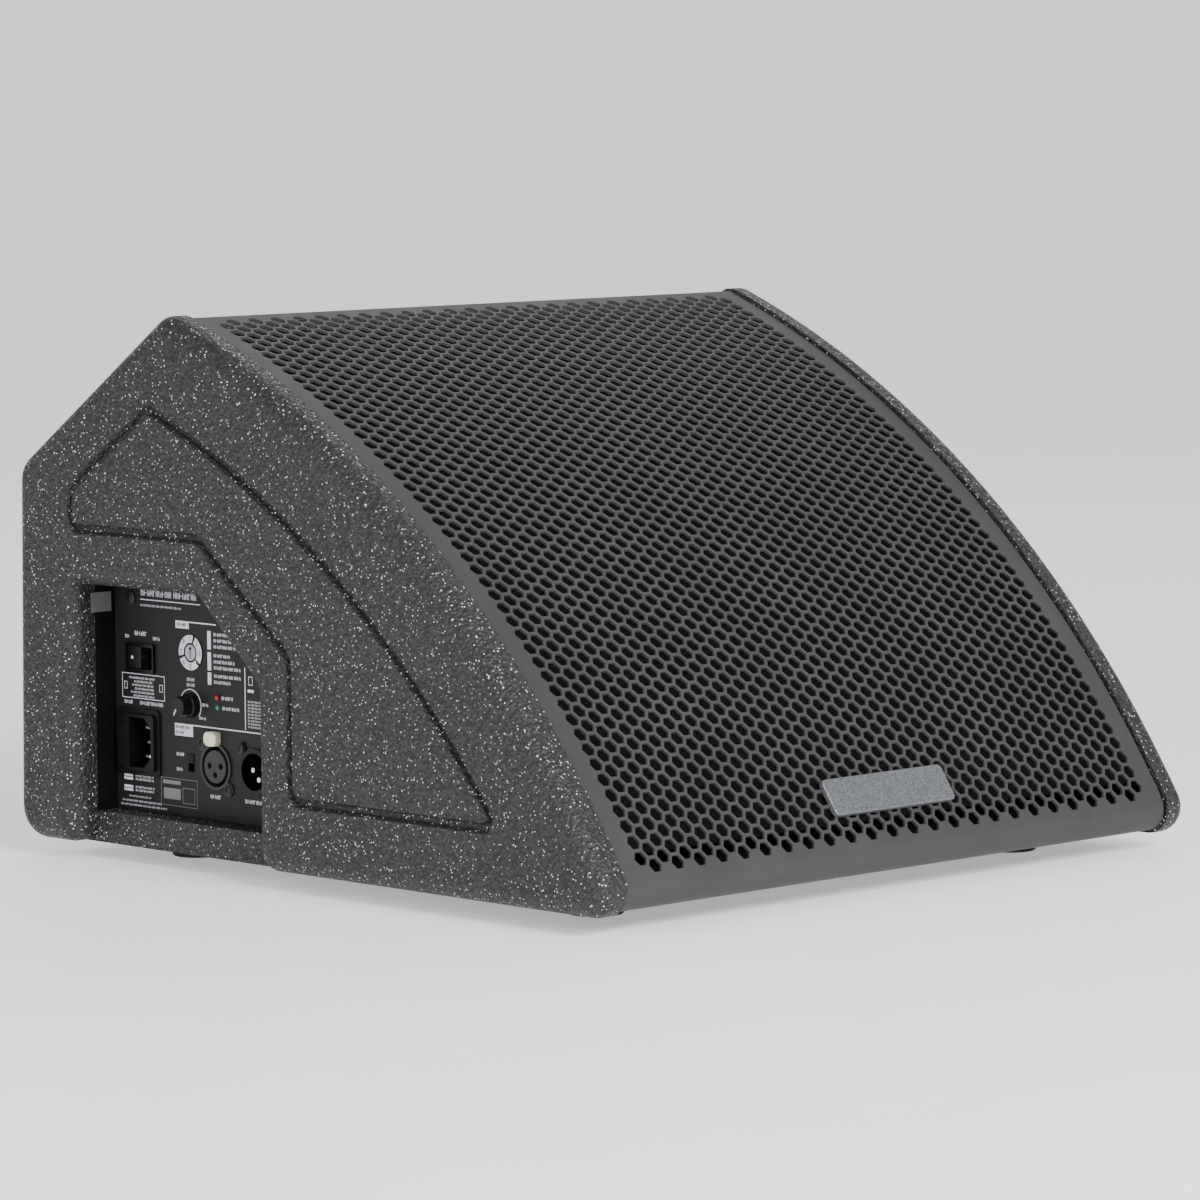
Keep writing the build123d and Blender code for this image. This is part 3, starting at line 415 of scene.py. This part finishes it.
FINISH_OF_NODE = {
    "coat": ["left_side_board", "right_side_board", "base_board", "back_board", "slope_board"],
    "lining": ["recess_frame", "baffle_board"],
    "foam": ["grille_foam", "driver_gasket"],
    "grille": ["grille"],
    "badge": ["badge_plate"],
    "panel": ["amp_panel"],
    "rubber": ["rubber_feet", "surround", "amp_transformer"],
    "plastic": [
        "pole_cup", "handle_cup", "handle_bar", "reflex_ports", "hf_horn", "mains_inlet", "fuse_drawer",
        "level_knob", "selector_body", "slide_switch_body", "slide_switch_lever", "output_connector",
    ],
    "insert": ["input_connector"],
    "gloss": ["rocker_frame", "power_rocker"],
    "black_steel": [
        "grille_screws", "hardware_screws", "driver_screws", "panel_screws", "connector_screws",
    ],
    "zinc": ["foot_screws", "top_plate", "back_plate"],
    "alloy": ["amp_chassis", "amp_heatsink", "level_pot"],
    "nickel": ["inlet_pins", "output_pins"],
    "casting": ["driver_basket", "hf_driver"],
    "ferrite": ["ring_magnet"],
    "paper": ["woofer_cone"],
    "cloth": ["spider"],
    "copper": ["voice_coil"],
    "wadding": ["damping_wadding"],
    "circuit": ["amp_board"],
    "sleeve": ["amp_capacitors"],
    "wire": ["speaker_wires"],
    "rotor": ["selector_rotor"],
    "cream": ["input_latch"],
    "label": ["rating_sticker"],
    "glass": ["mains_fuse"],
    "red": ["limit_light"],
    "green": ["signal_light"],
}


def dress(obj, finish):
    """Gives every slot of the object one finish."""
    if not obj.data.materials:
        obj.data.materials.append(bpy.data.materials[finish])
    for index in range(len(obj.data.materials)):
        obj.data.materials[index] = bpy.data.materials[finish]


def piece(name, points, faces, finish, body, sharp=35.0):
    """New mesh piece in the row frame, riding on a body."""
    mesh = bpy.data.meshes.new(name)
    mesh.from_pydata([tuple(p) for p in points], [], [tuple(int(i) for i in f) for f in faces])
    mesh.validate()
    mesh.shade_smooth()
    mesh.set_sharp_from_angle(angle=radians(sharp))
    obj = bpy.data.objects.new(name, mesh)
    bpy.context.collection.objects.link(obj)
    mesh.materials.append(bpy.data.materials[finish])
    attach(obj, body)
    return obj


# ---------------------------------------------------------------- grille
def sheet_points(x, run, depth):
    """Grille sheet: x across and run along its section, in metres, at a depth under its face.

    Above run 0 the section is an arc of the grille's radius from the nose angle upwards. Below it is the
    nose's arc down to 270 degrees, and then the flat lip that runs back under the cabinet.
    """
    x, run, depth = np.broadcast_arrays(*[np.asarray(value, float) for value in (x, run, depth)])
    nose_length = (1.5 * pi - NOSE_ANGLE) * NOSE_RADIUS
    face_angle = NOSE_ANGLE - run / GRILLE_RADIUS
    nose_angle = NOSE_ANGLE - np.clip(run, -nose_length, 0) / NOSE_RADIUS
    lip = np.clip(-run - nose_length, 0, None)
    on_face = run >= 0
    angle = np.where(on_face, face_angle, nose_angle)
    radius = np.where(on_face, GRILLE_RADIUS, NOSE_RADIUS) - depth
    y = np.where(on_face, ARC_Y, NOSE_Y + lip) + radius * np.cos(angle)
    z = np.where(on_face, ARC_Z, NOSE_Z) + radius * np.sin(angle)
    return np.stack([x, y, z], axis=-1)


def lattice_rings(values):
    """Columns and rows of the holes, and their rings as (hole, corner, [x, run, depth]), from web to back.

    Holes stand in columns half a pitch apart from their neighbours, and corner c of a ring lies at c times 60
    degrees round the hole's centre. Neighbouring webs meet at the cells' shared corners.
    """
    across = values.pitch * cos(radians(30))
    columns = [np.full(values.rows - 1 + k % 2, k) for k in range(values.columns)]
    rows = [np.arange(values.rows - 1 + k % 2) * 2 + 1 - k % 2 for k in range(values.columns)]
    column = np.concatenate(columns)
    row = np.concatenate(rows)
    x = (column - (values.columns - 1) / 2) * across
    run = FIRST_RUN + (row / 2 - 1.5) * values.pitch
    centre = np.stack([x, run], axis=1)
    turn = np.radians(np.arange(6) * 60.0)
    around = np.stack([np.cos(turn), np.sin(turn)], axis=1) / cos(radians(30)) / 2
    rings = []
    for flats, depth in (
        (values.pitch, 0.0),
        (values.hole + 2 * values.rim, 0.0),
        (values.hole, values.rim),
        (values.hole, values.sheet),
        (values.pitch, values.sheet),
    ):
        flat = centre[:, None, :] + flats * around[None, :, :]
        rings.append(np.concatenate([flat, np.full((*flat.shape[:2], 1), depth)], axis=2))
    return column, row, rings


NEIGHBOURS = ((1, 1), (0, 2), (-1, 1), (-1, -1), (0, -2), (1, -1))


def ring_quads(rings):
    """Quads between each ring and the next, corner by corner, as (quad, 4, [x, run, depth])."""
    quads = []
    for outer, inner in zip(rings, rings[1:]):
        outer_next = np.roll(outer, -1, axis=1)
        inner_next = np.roll(inner, -1, axis=1)
        quads.append(np.stack([outer, outer_next, inner_next, inner], axis=2).reshape(-1, 4, 3))
    return np.concatenate(quads)


def lattice_outline(web, column, row):
    """The lattice's free edges as (edge, 2, [x, run]): those with no hole across them.

    Column counts the columns of holes and row the half pitches along them. Edge c of a cell joins its
    corners c and c + 1, and faces the neighbour that NEIGHBOURS[c] is away in columns and half pitches.
    """
    start = web[:, :, :2]
    end = np.roll(web, -1, axis=1)[:, :, :2]
    taken = np.zeros((column.max() + 3, row.max() + 5), bool)
    taken[column + 1, row + 2] = True
    step = np.array(NEIGHBOURS)
    free = ~taken[column[:, None] + 1 + step[None, :, 0], row[:, None] + 2 + step[None, :, 1]]
    return np.stack([start[free], end[free]], axis=1)


def margin_quads(edges, half_width, low, high, first_x):
    """Strips from the lattice's outline to a rectangle, with a quad at each of its four corners."""
    quads = []
    ends = {}
    for start, end in edges:
        mid = (start + end) / 2
        if abs(mid[0]) > first_x:
            side = np.sign(mid[0])
            goal = [np.array([side * half_width, point[1]]) for point in (start, end)]
            name = "side"
        else:
            level = low if mid[1] < (low + high) / 2 else high
            goal = [np.array([point[0], level]) for point in (start, end)]
            name = "end"
        quads.append([end, start, goal[0], goal[1]])
        for point in (start, end):
            ends.setdefault(tuple(np.round(point * 1e5).astype(int)), {})[name] = point
    for kinds in ends.values():
        if len(kinds) == 2:
            point = kinds["side"]
            side = np.sign(point[0]) * half_width
            level = low if point[1] < (low + high) / 2 else high
            loop = [point, np.array([point[0], level]), np.array([side, level]), np.array([side, point[1]])]
            if np.sign(point[0]) * (level - point[1]) < 0:
                loop.reverse()
            quads.append(loop[::-1])
    return np.array(quads)


def weld(quads):
    """Points and faces of a loose set of quads, with equal points joined."""
    flat = quads.reshape(-1, 3)
    keys = np.round(flat * 2e5).astype(np.int64)
    unique, first, index = np.unique(keys, axis=0, return_index=True, return_inverse=True)
    return flat[first], index.reshape(-1, 4)


def grille_mesh(values):
    """Points and faces of the whole sheet: lattice, margins, rolled nose, lip and cut edges."""
    half_width = GRILLE_HIGH[0]
    column, row, rings = lattice_rings(values)
    edges = lattice_outline(rings[0], column, row)
    low = NOSE_START
    high = (NOSE_ANGLE - TOP_ANGLE) * GRILLE_RADIUS
    lattice_top = edges[:, :, 1].max() + 0.002
    last_column = (values.columns - 1) / 2 * values.pitch * cos(radians(30))
    margins = margin_quads(edges, half_width, low, lattice_top, last_column + 0.001)
    xs = np.unique(np.round(margins[:, :, 0][np.abs(margins[:, :, 1] - low) < 1e-9], 6))
    nose_end = -(1.5 * pi - NOSE_ANGLE) * NOSE_RADIUS
    lip_end = nose_end - LIP
    nose_runs = np.concatenate([np.linspace(low, nose_end, 15), [lip_end]])
    top_runs = np.linspace(lattice_top, high, 4)
    faces = [margins]
    for runs in (nose_runs[::-1], top_runs):
        grid_x, grid_run = np.meshgrid(xs, runs, indexing="ij")
        grid = np.stack([grid_x, grid_run], axis=2)
        quads = np.stack([grid[:-1, :-1], grid[1:, :-1], grid[1:, 1:], grid[:-1, 1:]], axis=2)
        faces.append(quads.reshape(-1, 4, 2))
    flat = np.concatenate(faces)
    front = np.concatenate([flat, np.zeros((*flat.shape[:2], 1))], axis=2)
    back = front[:, ::-1].copy()
    back[:, :, 2] = values.sheet
    walls = []
    for side in (-1, 1):
        on_side = np.abs(flat[:, :, 0] - side * half_width) < 1e-7
        runs = np.unique(np.round(flat[:, :, 1][on_side], 6))
        walls.append(wall_quads(np.full(len(runs), side * half_width), runs, values.sheet, side < 0))
    walls.append(wall_quads(xs, np.full(len(xs), high), values.sheet, True))
    walls.append(wall_quads(xs, np.full(len(xs), lip_end), values.sheet, False))
    points, faces = weld(np.concatenate([ring_quads(rings), front, back, *walls]))
    return sheet_points(points[:, 0], points[:, 1], points[:, 2]), faces


def wall_quads(x, run, sheet, turned):
    """Cut edge of the sheet along a line of (x, run) points."""
    face = np.stack([x, run, np.zeros(len(x))], axis=1)
    back = face + np.array([0.0, 0.0, sheet])
    quads = np.stack([face[:-1], face[1:], back[1:], back[:-1]], axis=1)
    return quads[:, ::-1] if turned else quads


class MONITOR_OT_grille(Operator):
    """Builds the perforated, rolled grille in place of the plain sheet."""

    bl_idname = "monitor.grille"
    bl_label = "Grille"

    def execute(self, context):
        points, faces = grille_mesh(settings("grille"))
        grille = piece("perforated_grille", points, faces, "grille", CABINET, 40.0)
        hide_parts("grille")
        return {"FINISHED"}


class MONITOR_OT_finishes(Operator):
    """Builds the shared node groups and every finish, and dresses the CAD nodes."""

    bl_idname = "monitor.finishes"
    bl_label = "Finishes"

    def execute(self, context):
        grain_group()
        bead_group()
        streak_group()
        make_finishes()
        for finish, nodes in FINISH_OF_NODE.items():
            for node in nodes:
                dress(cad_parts[node], finish)
        return {"FINISHED"}


# ---------------------------------------------------------------- print on the amplifier panel
INK_STEP = 0.00006


def panel_points(y, z, out=INK_STEP):
    """Points on the amplifier panel's face, a little in front of it."""
    y = np.asarray(y, float)
    return np.stack([np.full(y.shape, PANEL_X - out), y, np.broadcast_to(z, y.shape)], axis=-1)


class Print:
    """Flat marks on the panel, gathered into one mesh. Places are millimetres along Y and Z."""

    def __init__(self, out=INK_STEP):
        self.points = []
        self.faces = []
        self.count = 0
        self.out = out

    def add(self, y, z, faces):
        """Adds points in millimetres and the faces between them."""
        self.points.append(panel_points(np.asarray(y) / 1000, np.asarray(z) / 1000, self.out))
        self.faces.extend([[index + self.count for index in face] for face in faces])
        self.count += len(y)

    def bar(self, y_a, y_b, z_a, z_b):
        """Filled rectangle."""
        self.add([y_b, y_a, y_a, y_b], [z_a, z_a, z_b, z_b], [[0, 1, 2, 3]])

    def frame(self, y_a, y_b, z_a, z_b, line=0.35):
        """Outlined rectangle."""
        self.bar(y_a, y_b, z_a, z_a + line)
        self.bar(y_a, y_b, z_b - line, z_b)
        self.bar(y_a, y_a + line, z_a + line, z_b - line)
        self.bar(y_b - line, y_b, z_a + line, z_b - line)

    def ring(self, y, z, inner, outer, start, end, steps=24):
        """Ring segment: start and end in degrees, anticlockwise from the front as seen from outside."""
        angle = np.radians(np.linspace(start, end, steps + 1))
        for_y = -np.cos(angle)
        for_z = np.sin(angle)
        ys = np.concatenate([y + inner * for_y, y + outer * for_y])
        zs = np.concatenate([z + inner * for_z, z + outer * for_z])
        lines = steps + 1
        self.add(ys, zs, [[i, i + lines, i + lines + 1, i + 1] for i in range(steps)])

    def words(self, y_from, z, widths, height=1.3, line=0.32):
        """A line of stand-in lettering: small strokes of uneven widths, read from the rear to the front."""
        y = y_from
        for index, width in enumerate(widths):
            self.glyph(y, z, width, height, line, index)
            y -= width + 0.38

    def glyph(self, y, z, width, height, line, index):
        """One stand-in letter of two or three strokes."""
        self.bar(y - line, y, z, z + height)
        if index % 3 != 1:
            self.bar(y - width, y - width + line, z, z + height * (1.0 if index % 2 else 0.75))
        if index % 4 != 2:
            level = z + height * (0.5 if index % 2 else 0.8)
            self.bar(y - width + line * 0.5, y - line * 0.5, level - line * 0.5, level + line * 0.5)

    def build(self, name, finish):
        """The finished piece."""
        return piece(name, np.concatenate(self.points), self.faces, finish, CABINET)


def letter_widths(count, seed, small=0.7, large=1.15):
    """Uneven letter widths."""
    return np.random.default_rng(seed).uniform(small, large, count)


def in_mm(node):
    """Y and Z of a CAD node's middle in millimetres."""
    spot = middle(node)
    return spot[1] * 1000, spot[2] * 1000


def print_headings(ink):
    """Heading with its underline, and the rules and title blocks of the two sections."""
    ink.words(140.0, 127.6, letter_widths(19, 1, 1.5, 2.1), 3.0, 0.55)
    ink.bar(96.2, 140.4, 125.6, 126.1)
    ink.words(140.4, 122.5, letter_widths(28, 2, 0.55, 0.85), 1.1, 0.22)
    ink.bar(104.8, 114.6, 113.8, 117.4)
    ink.bar(85.0, 104.8, 116.8, 117.4)
    ink.bar(102.8, 116.1, 62.4, 68.3)
    ink.bar(36.0, 102.8, 67.7, 68.3)
    ink.bar(64.2, 64.8, 68.9, 98.4)


def print_power(ink):
    """Marks round the rocker and the mains inlet, and a framed block of small print."""
    y, z = in_mm("rocker_frame")
    ink.words(y + 4.8, z + 10.6, letter_widths(5, 3, 1.3, 1.7), 2.2, 0.45)
    ink.words(y + 12.0, z + 9.0, letter_widths(2, 4, 1.3, 1.5), 1.8, 0.35)
    ink.words(y - 8.8, z + 9.0, letter_widths(3, 5, 1.2, 1.4), 1.8, 0.35)
    ink.frame(123.3, 155.0, 77.8, 89.8)
    for row in range(6):
        inset = (0.0, 3.5, 2.0, 4.0, 1.0, 3.0)[row]
        widths = letter_widths(int(18 - inset), 10 + row, 0.5, 0.8)
        ink.words(149.5 - inset, 87.2 - 1.72 * row, widths, 1.0, 0.24)
    for block_y in (152.3, 126.0):
        ink.frame(block_y - 1.2, block_y + 1.2, 82.0, 85.6, 0.3)
    ink.words(153.4, 75.0, letter_widths(4, 20, 1.1, 1.3), 1.8, 0.35)
    ink.words(141.8, 75.0, letter_widths(11, 21, 1.1, 1.4), 1.8, 0.35)
    for row in range(4):
        level = 39.8 - 1.6 * row - 2.2 * (row // 2)
        ink.words(146.0, level, letter_widths(12, 30 + row, 0.6, 0.95), 1.1, 0.25)
        ink.bar(148.0, 154.6, level - 0.1, level + 1.1)
    ink.words(150.8, 29.9, letter_widths(16, 36, 0.5, 0.8), 0.9, 0.2)
    ink.words(156.0, 27.6, letter_widths(26, 37, 0.6, 0.95), 1.0, 0.24)
    ink.words(157.0, 25.6, letter_widths(30, 38, 0.6, 0.95), 1.0, 0.24)


def print_preset(ink):
    """List of presets beside the selector."""
    groups = ((113.9, 3), (103.9, 3), (94.2, 2))
    for top, rows in groups:
        ink.bar(88.8, 91.4, top - 2.9 * rows, top)
        for row in range(rows):
            widths = letter_widths(9 + 3 * ((row + rows) % 3), 40 + int(top) + row, 0.75, 1.1)
            ink.words(86.8, top - 2.2 - 2.9 * row, widths, 1.6, 0.33)


def print_signal(ink):
    """Marks of the level knob, the lights, the switch and the two connectors."""
    y, z = in_mm("level_pot")
    ink.ring(y, z, 7.5, 8.0, -38, 150, 40)
    ink.words(y + 2.2, z + 11.6, letter_widths(4, 60, 0.9, 1.2), 1.7, 0.33)
    ink.words(y + 2.4, z + 9.0, letter_widths(4, 61, 0.9, 1.2), 1.7, 0.33)
    ink.words(y - 8.8, z + 0.2, letter_widths(3, 62, 0.9, 1.2), 1.6, 0.33)
    ink.words(y - 6.6, z - 6.2, letter_widths(3, 63, 1.1, 1.4), 1.4, 0.33)
    for node, letters in (("limit_light", 6), ("signal_light", 9)):
        lamp_y, lamp_z = in_mm(node)
        ink.words(lamp_y - 2.6, lamp_z - 1.0, letter_widths(letters, 64 + letters, 0.9, 1.15), 1.7, 0.33)
    y, z = in_mm("slide_switch_body")
    ink.words(y + 10.6, z + 2.6, letter_widths(4, 70, 0.9, 1.1), 1.7, 0.33)
    ink.words(y + 10.6, z - 4.6, letter_widths(3, 71, 0.9, 1.2), 1.7, 0.33)
    for node, letters, shift in (("input_connector", 5, 4.6), ("output_connector", 8, 7.5)):
        y, z = in_mm(node)
        ink.words(y + shift, z - 15.4, letter_widths(letters, 72 + letters, 1.1, 1.4), 1.9, 0.38)
    ink.bar(58.2, 62.6, 86.8, 88.2)
    ink.frame(59.0, 62.0, 90.2, 94.4)
    for row in range(9):
        ink.words(62.6, 82.0 - 1.5 * row, letter_widths(12, 90 + row, 0.5, 0.8), 0.95, 0.22)


def print_plate(ink):
    """Outlined model plate with plain bars."""
    ink.frame(100.2, 127.0, 28.2, 41.6, 0.25)
    ink.bar(112.5, 125.5, 38.6, 40.4)
    ink.bar(112.5, 125.0, 31.4, 36.6)
    ink.frame(102.0, 111.0, 30.0, 37.5, 0.3)


class MONITOR_OT_print(Operator):
    """Prints the amplifier panel: rules, blocks, stand-in lettering, scales and numbers."""

    bl_idname = "monitor.print"
    bl_label = "Panel print"

    def execute(self, context):
        ink = Print()
        print_headings(ink)
        print_power(ink)
        print_preset(ink)
        print_signal(ink)
        ink.build("panel_print", "ink")
        faint = Print()
        print_plate(faint)
        faint.build("model_plate_print", "faint_ink")
        raised = Print(SELECTOR_RISE + INK_STEP)
        y, z = in_mm("selector_rotor")
        for start, end in ((-36, 63), (75, 193), (205, 315)):
            raised.ring(y, z, 4.75, 8.4, start, end)
        raised.build("preset_ring_print", "ink")
        dark = Print(INK_STEP * 2.2)
        dark.words(113.4, 114.8, letter_widths(5, 7, 0.9, 1.2), 1.6, 0.33)
        dark.words(115.2, 65.8, letter_widths(8, 8, 0.8, 1.1), 1.6, 0.33)
        dark.words(115.2, 63.3, letter_widths(5, 9, 0.8, 1.1), 1.6, 0.33)
        dark.build("panel_print_dark", "plastic")
        self.numbers()
        return {"FINISHED"}

    def numbers(self):
        """Numbers of the selector's ring, one to eight."""
        y, z = in_mm("selector_rotor")
        for number in range(8):
            angle = radians(90 - 45 * number)
            spot = (y - 6.75 * cos(angle), z + 6.75 * sin(angle))
            number_piece(str(number + 1), f"preset_number_{number + 1}", spot, 0.0036)


def number_piece(text, name, spot, height):
    """One number as a flat mesh on the selector's ring, its place applied."""
    curve = bpy.data.curves.new(name, "FONT")
    curve.body = text
    curve.size = height
    curve.align_x = "CENTER"
    curve.align_y = "CENTER"
    writer = bpy.data.objects.new(name + "_writer", curve)
    bpy.context.collection.objects.link(writer)
    bpy.context.view_layer.update()
    mesh = bpy.data.meshes.new_from_object(writer)
    bpy.data.objects.remove(writer)
    rows = (
        (0, 0, -1, PANEL_X - SELECTOR_RISE - 2.2 * INK_STEP),
        (-1, 0, 0, spot[0] / 1000),
        (0, 1, 0, spot[1] / 1000),
        (0, 0, 0, 1),
    )
    place = Matrix(rows)
    mesh.transform(place)
    mesh.materials.clear()
    mesh.materials.append(bpy.data.materials["plastic"])
    obj = bpy.data.objects.new(name, mesh)
    bpy.context.collection.objects.link(obj)
    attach(obj, CABINET)
    return obj


# ---------------------------------------------------------------- marks on the moving parts
def facing(y, z, u, v, out):
    """Points in front of the panel: u to the right and v up from (y, z) as seen from outside, in metres."""
    u, v, out = np.broadcast_arrays(np.asarray(u, float), np.asarray(v, float), np.asarray(out, float))
    return np.stack([PANEL_X - out, y - u, z + v], axis=-1)


KNOB_REST_TURN = radians(150.0)


class MONITOR_OT_marks(Operator):
    """Marks the moving parts: the level knob's pointer, the rocker's dot and the selector's arrow."""

    bl_idname = "monitor.marks"
    bl_label = "Marks"

    def execute(self, context):
        self.pointer()
        self.dot()
        self.arrow()
        return {"FINISHED"}

    def pointer(self):
        """Light inlay that fills the knob's pointer groove."""
        _, y, z = middle("level_knob")
        turn = KNOB_REST_TURN
        side = np.array([-1, 1, 1, -1] * 2) * 0.00042
        reach = np.array([1.4, 1.4, 4.72, 4.72] * 2) / 1000
        out = np.array([3.45] * 4 + [8.5] * 4) / 1000
        u = side * cos(turn) - reach * sin(turn)
        v = side * sin(turn) + reach * cos(turn)
        faces = [(3, 2, 1, 0), (4, 5, 6, 7), (0, 1, 5, 4), (1, 2, 6, 5), (2, 3, 7, 6), (3, 0, 4, 7)]
        piece("level_pointer", facing(y, z, u, v, out), faces, "ink", "level")

    def dot(self):
        """Light dot on the rear half of the rocker, laid on its sloping face."""
        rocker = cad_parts["power_rocker"]
        _, y, z = middle("power_rocker")
        spot = Vector((PANEL_X - 0.05, y + 0.0056, z))
        _, place, normal, _ = rocker.ray_cast(spot, Vector((1.0, 0.0, 0.0)))
        up = Vector((0.0, 0.0, 1.0))
        across = normal.cross(up).normalized()
        angle = np.linspace(0, 2 * pi, 24, endpoint=False)
        lifted = place + normal * 0.00005
        points = [lifted + 0.00078 * (cos(a) * across + sin(a) * up) for a in angle]
        faces = [tuple(range(24))]
        if (points[1] - points[0]).cross(points[2] - points[1]).dot(normal) < 0:
            faces = [tuple(reversed(range(24)))]
        piece("rocker_dot", points, faces, "ink", "rocker")

    def arrow(self):
        """Dark arrow head at the top of the rotor's slot."""
        _, y, z = middle("selector_rotor")
        out = PANEL_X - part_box("selector_rotor")[0][0] + INK_STEP
        u = np.array([-1.15, 1.15, 0.0]) / 1000
        v = np.array([1.5, 1.5, 3.2]) / 1000
        points = facing(y, z, u, v, out)
        piece("selector_arrow", points, [(0, 1, 2)], "plastic", "selector")


# ---------------------------------------------------------------- stage
CAMERA_PLACE = Vector((-1.9005, -1.9609, 0.3864))
CAMERA_AIM = Vector((0.69288, 0.71458, -0.09636))
CAMERA_RIGHT = Vector((0.71738, -0.69664, -0.00777))


def area_light(name, place, aim, size, power, colour=(1.0, 1.0, 1.0)):
    """Square soft light turned towards a point."""
    lamp = bpy.data.lights.new(name, "AREA")
    lamp.shape = "RECTANGLE"
    lamp.size, lamp.size_y = size
    lamp.energy = power
    lamp.color = colour
    obj = bpy.data.objects.new(name, lamp)
    obj.location = place
    obj.rotation_euler = (Vector(aim) - Vector(place)).to_track_quat("-Z", "Y").to_euler()
    bpy.context.collection.objects.link(obj)


class MONITOR_OT_stage(Operator):
    """Builds the floor, the lights and the camera."""

    bl_idname = "monitor.stage"
    bl_label = "Stage"

    def execute(self, context):
        values = settings("stage")
        self.floor(values)
        self.sky(values)
        self.camera(values)
        area_light("key_light", (-0.5, -2.3, 1.35), (0, 0, 0.1), (1.5, 0.9), values.key)
        area_light("fill_light", (-2.4, -0.3, 0.9), (0, 0, 0.1), (1.4, 1.4), values.fill)
        area_light("back_light", (1.4, 1.2, 1.8), (0, 0, 0.15), (1.2, 1.2), values.fill * 0.3)
        return {"FINISHED"}

    def floor(self, values):
        """Pale floor that curves up behind the object."""
        run = np.linspace(0, 1, 40)
        back = 4.0
        bend = 1.2
        y = np.where(run < 0.5, -5 + (back + 5) * run * 2, back + bend * np.sin((run - 0.5) * pi))
        z = np.where(run < 0.5, 0.0, bend * (1 - np.cos((run - 0.5) * pi)))
        y = np.append(y, back + bend)
        z = np.append(z, 5.0)
        x = np.array([-8.0, 8.0])
        grid = np.stack(np.broadcast_arrays(x[:, None], y[None, :], z[None, :]), axis=2).reshape(-1, 3)
        grid[:, :2] = grid[:, :2] @ np.array([[0.717, -0.697], [0.697, 0.717]])
        rows = len(y)
        mesh = bpy.data.meshes.new("floor")
        faces = [(i, i + rows, i + rows + 1, i + 1) for i in range(rows - 1)]
        mesh.from_pydata([tuple(point) for point in grid], [], faces)
        mesh.shade_smooth()
        obj = bpy.data.objects.new("floor", mesh)
        bpy.context.collection.objects.link(obj)
        pale = plain_finish("pale_floor", values.floor, 0.6, 0.004, 0.00005, 0.01)
        glow = {"Emission Color": rgba(values.floor), "Emission Strength": values.glow}
        set_shader(pale.node_tree.nodes["Principled BSDF"], glow)
        mesh.materials.append(pale)

    def sky(self, values):
        """Even pale light from all round."""
        world = bpy.data.worlds.new("sky")
        world.use_nodes = True
        background = world.node_tree.nodes["Background"]
        background.inputs["Color"].default_value = (0.97, 0.98, 1.0, 1.0)
        background.inputs["Strength"].default_value = values.sky
        bpy.context.scene.world = world

    def camera(self, values):
        """Camera low in front of the left corner."""
        lens = bpy.data.cameras.new("camera")
        lens.lens = values.lens
        lens.sensor_width = 36.0
        lens.clip_end = 50.0
        obj = bpy.data.objects.new("camera", lens)
        back = -CAMERA_AIM.normalized()
        right = CAMERA_RIGHT.normalized()
        up = back.cross(right)
        turn = Matrix((right, up, back)).transposed().to_4x4()
        obj.matrix_world = Matrix.Translation(CAMERA_PLACE) @ turn
        bpy.context.collection.objects.link(obj)
        bpy.context.scene.camera = obj


class MONITOR_PT_tools(Panel):
    """Panel in the 3D view's sidebar."""

    bl_idname = "MONITOR_PT_tools"
    bl_label = "Stage monitor"
    bl_space_type = "VIEW_3D"
    bl_region_type = "UI"
    bl_category = "Monitor"

    def draw(self, context):
        for part in ("grille", "finish", "stage"):
            values = settings(part)
            box = self.layout.box()
            for name in values.bl_rna.properties.keys():
                if name not in ("rna_type", "name"):
                    box.prop(values, name)
        for step in STEPS:
            self.layout.operator(step.bl_idname)


STEPS = (MONITOR_OT_finishes, MONITOR_OT_grille, MONITOR_OT_print, MONITOR_OT_marks, MONITOR_OT_stage)
SETTINGS = {"grille": MonitorGrilleSettings, "finish": MonitorFinishSettings, "stage": MonitorStageSettings}


def register():
    for part, kind in SETTINGS.items():
        bpy.utils.register_class(kind)
        setattr(bpy.types.Scene, f"monitor_{part}", PointerProperty(type=kind))
    for kind in (*STEPS, MONITOR_PT_tools):
        bpy.utils.register_class(kind)


def unregister():
    for kind in reversed((*STEPS, MONITOR_PT_tools)):
        bpy.utils.unregister_class(kind)
    for part, kind in SETTINGS.items():
        delattr(bpy.types.Scene, f"monitor_{part}")
        bpy.utils.unregister_class(kind)


def main():
    """Builds everything in order."""
    register()
    for step in STEPS:
        group, name = step.bl_idname.split(".")
        getattr(getattr(bpy.ops, group), name)()


if __name__ == "__main__":
    main()
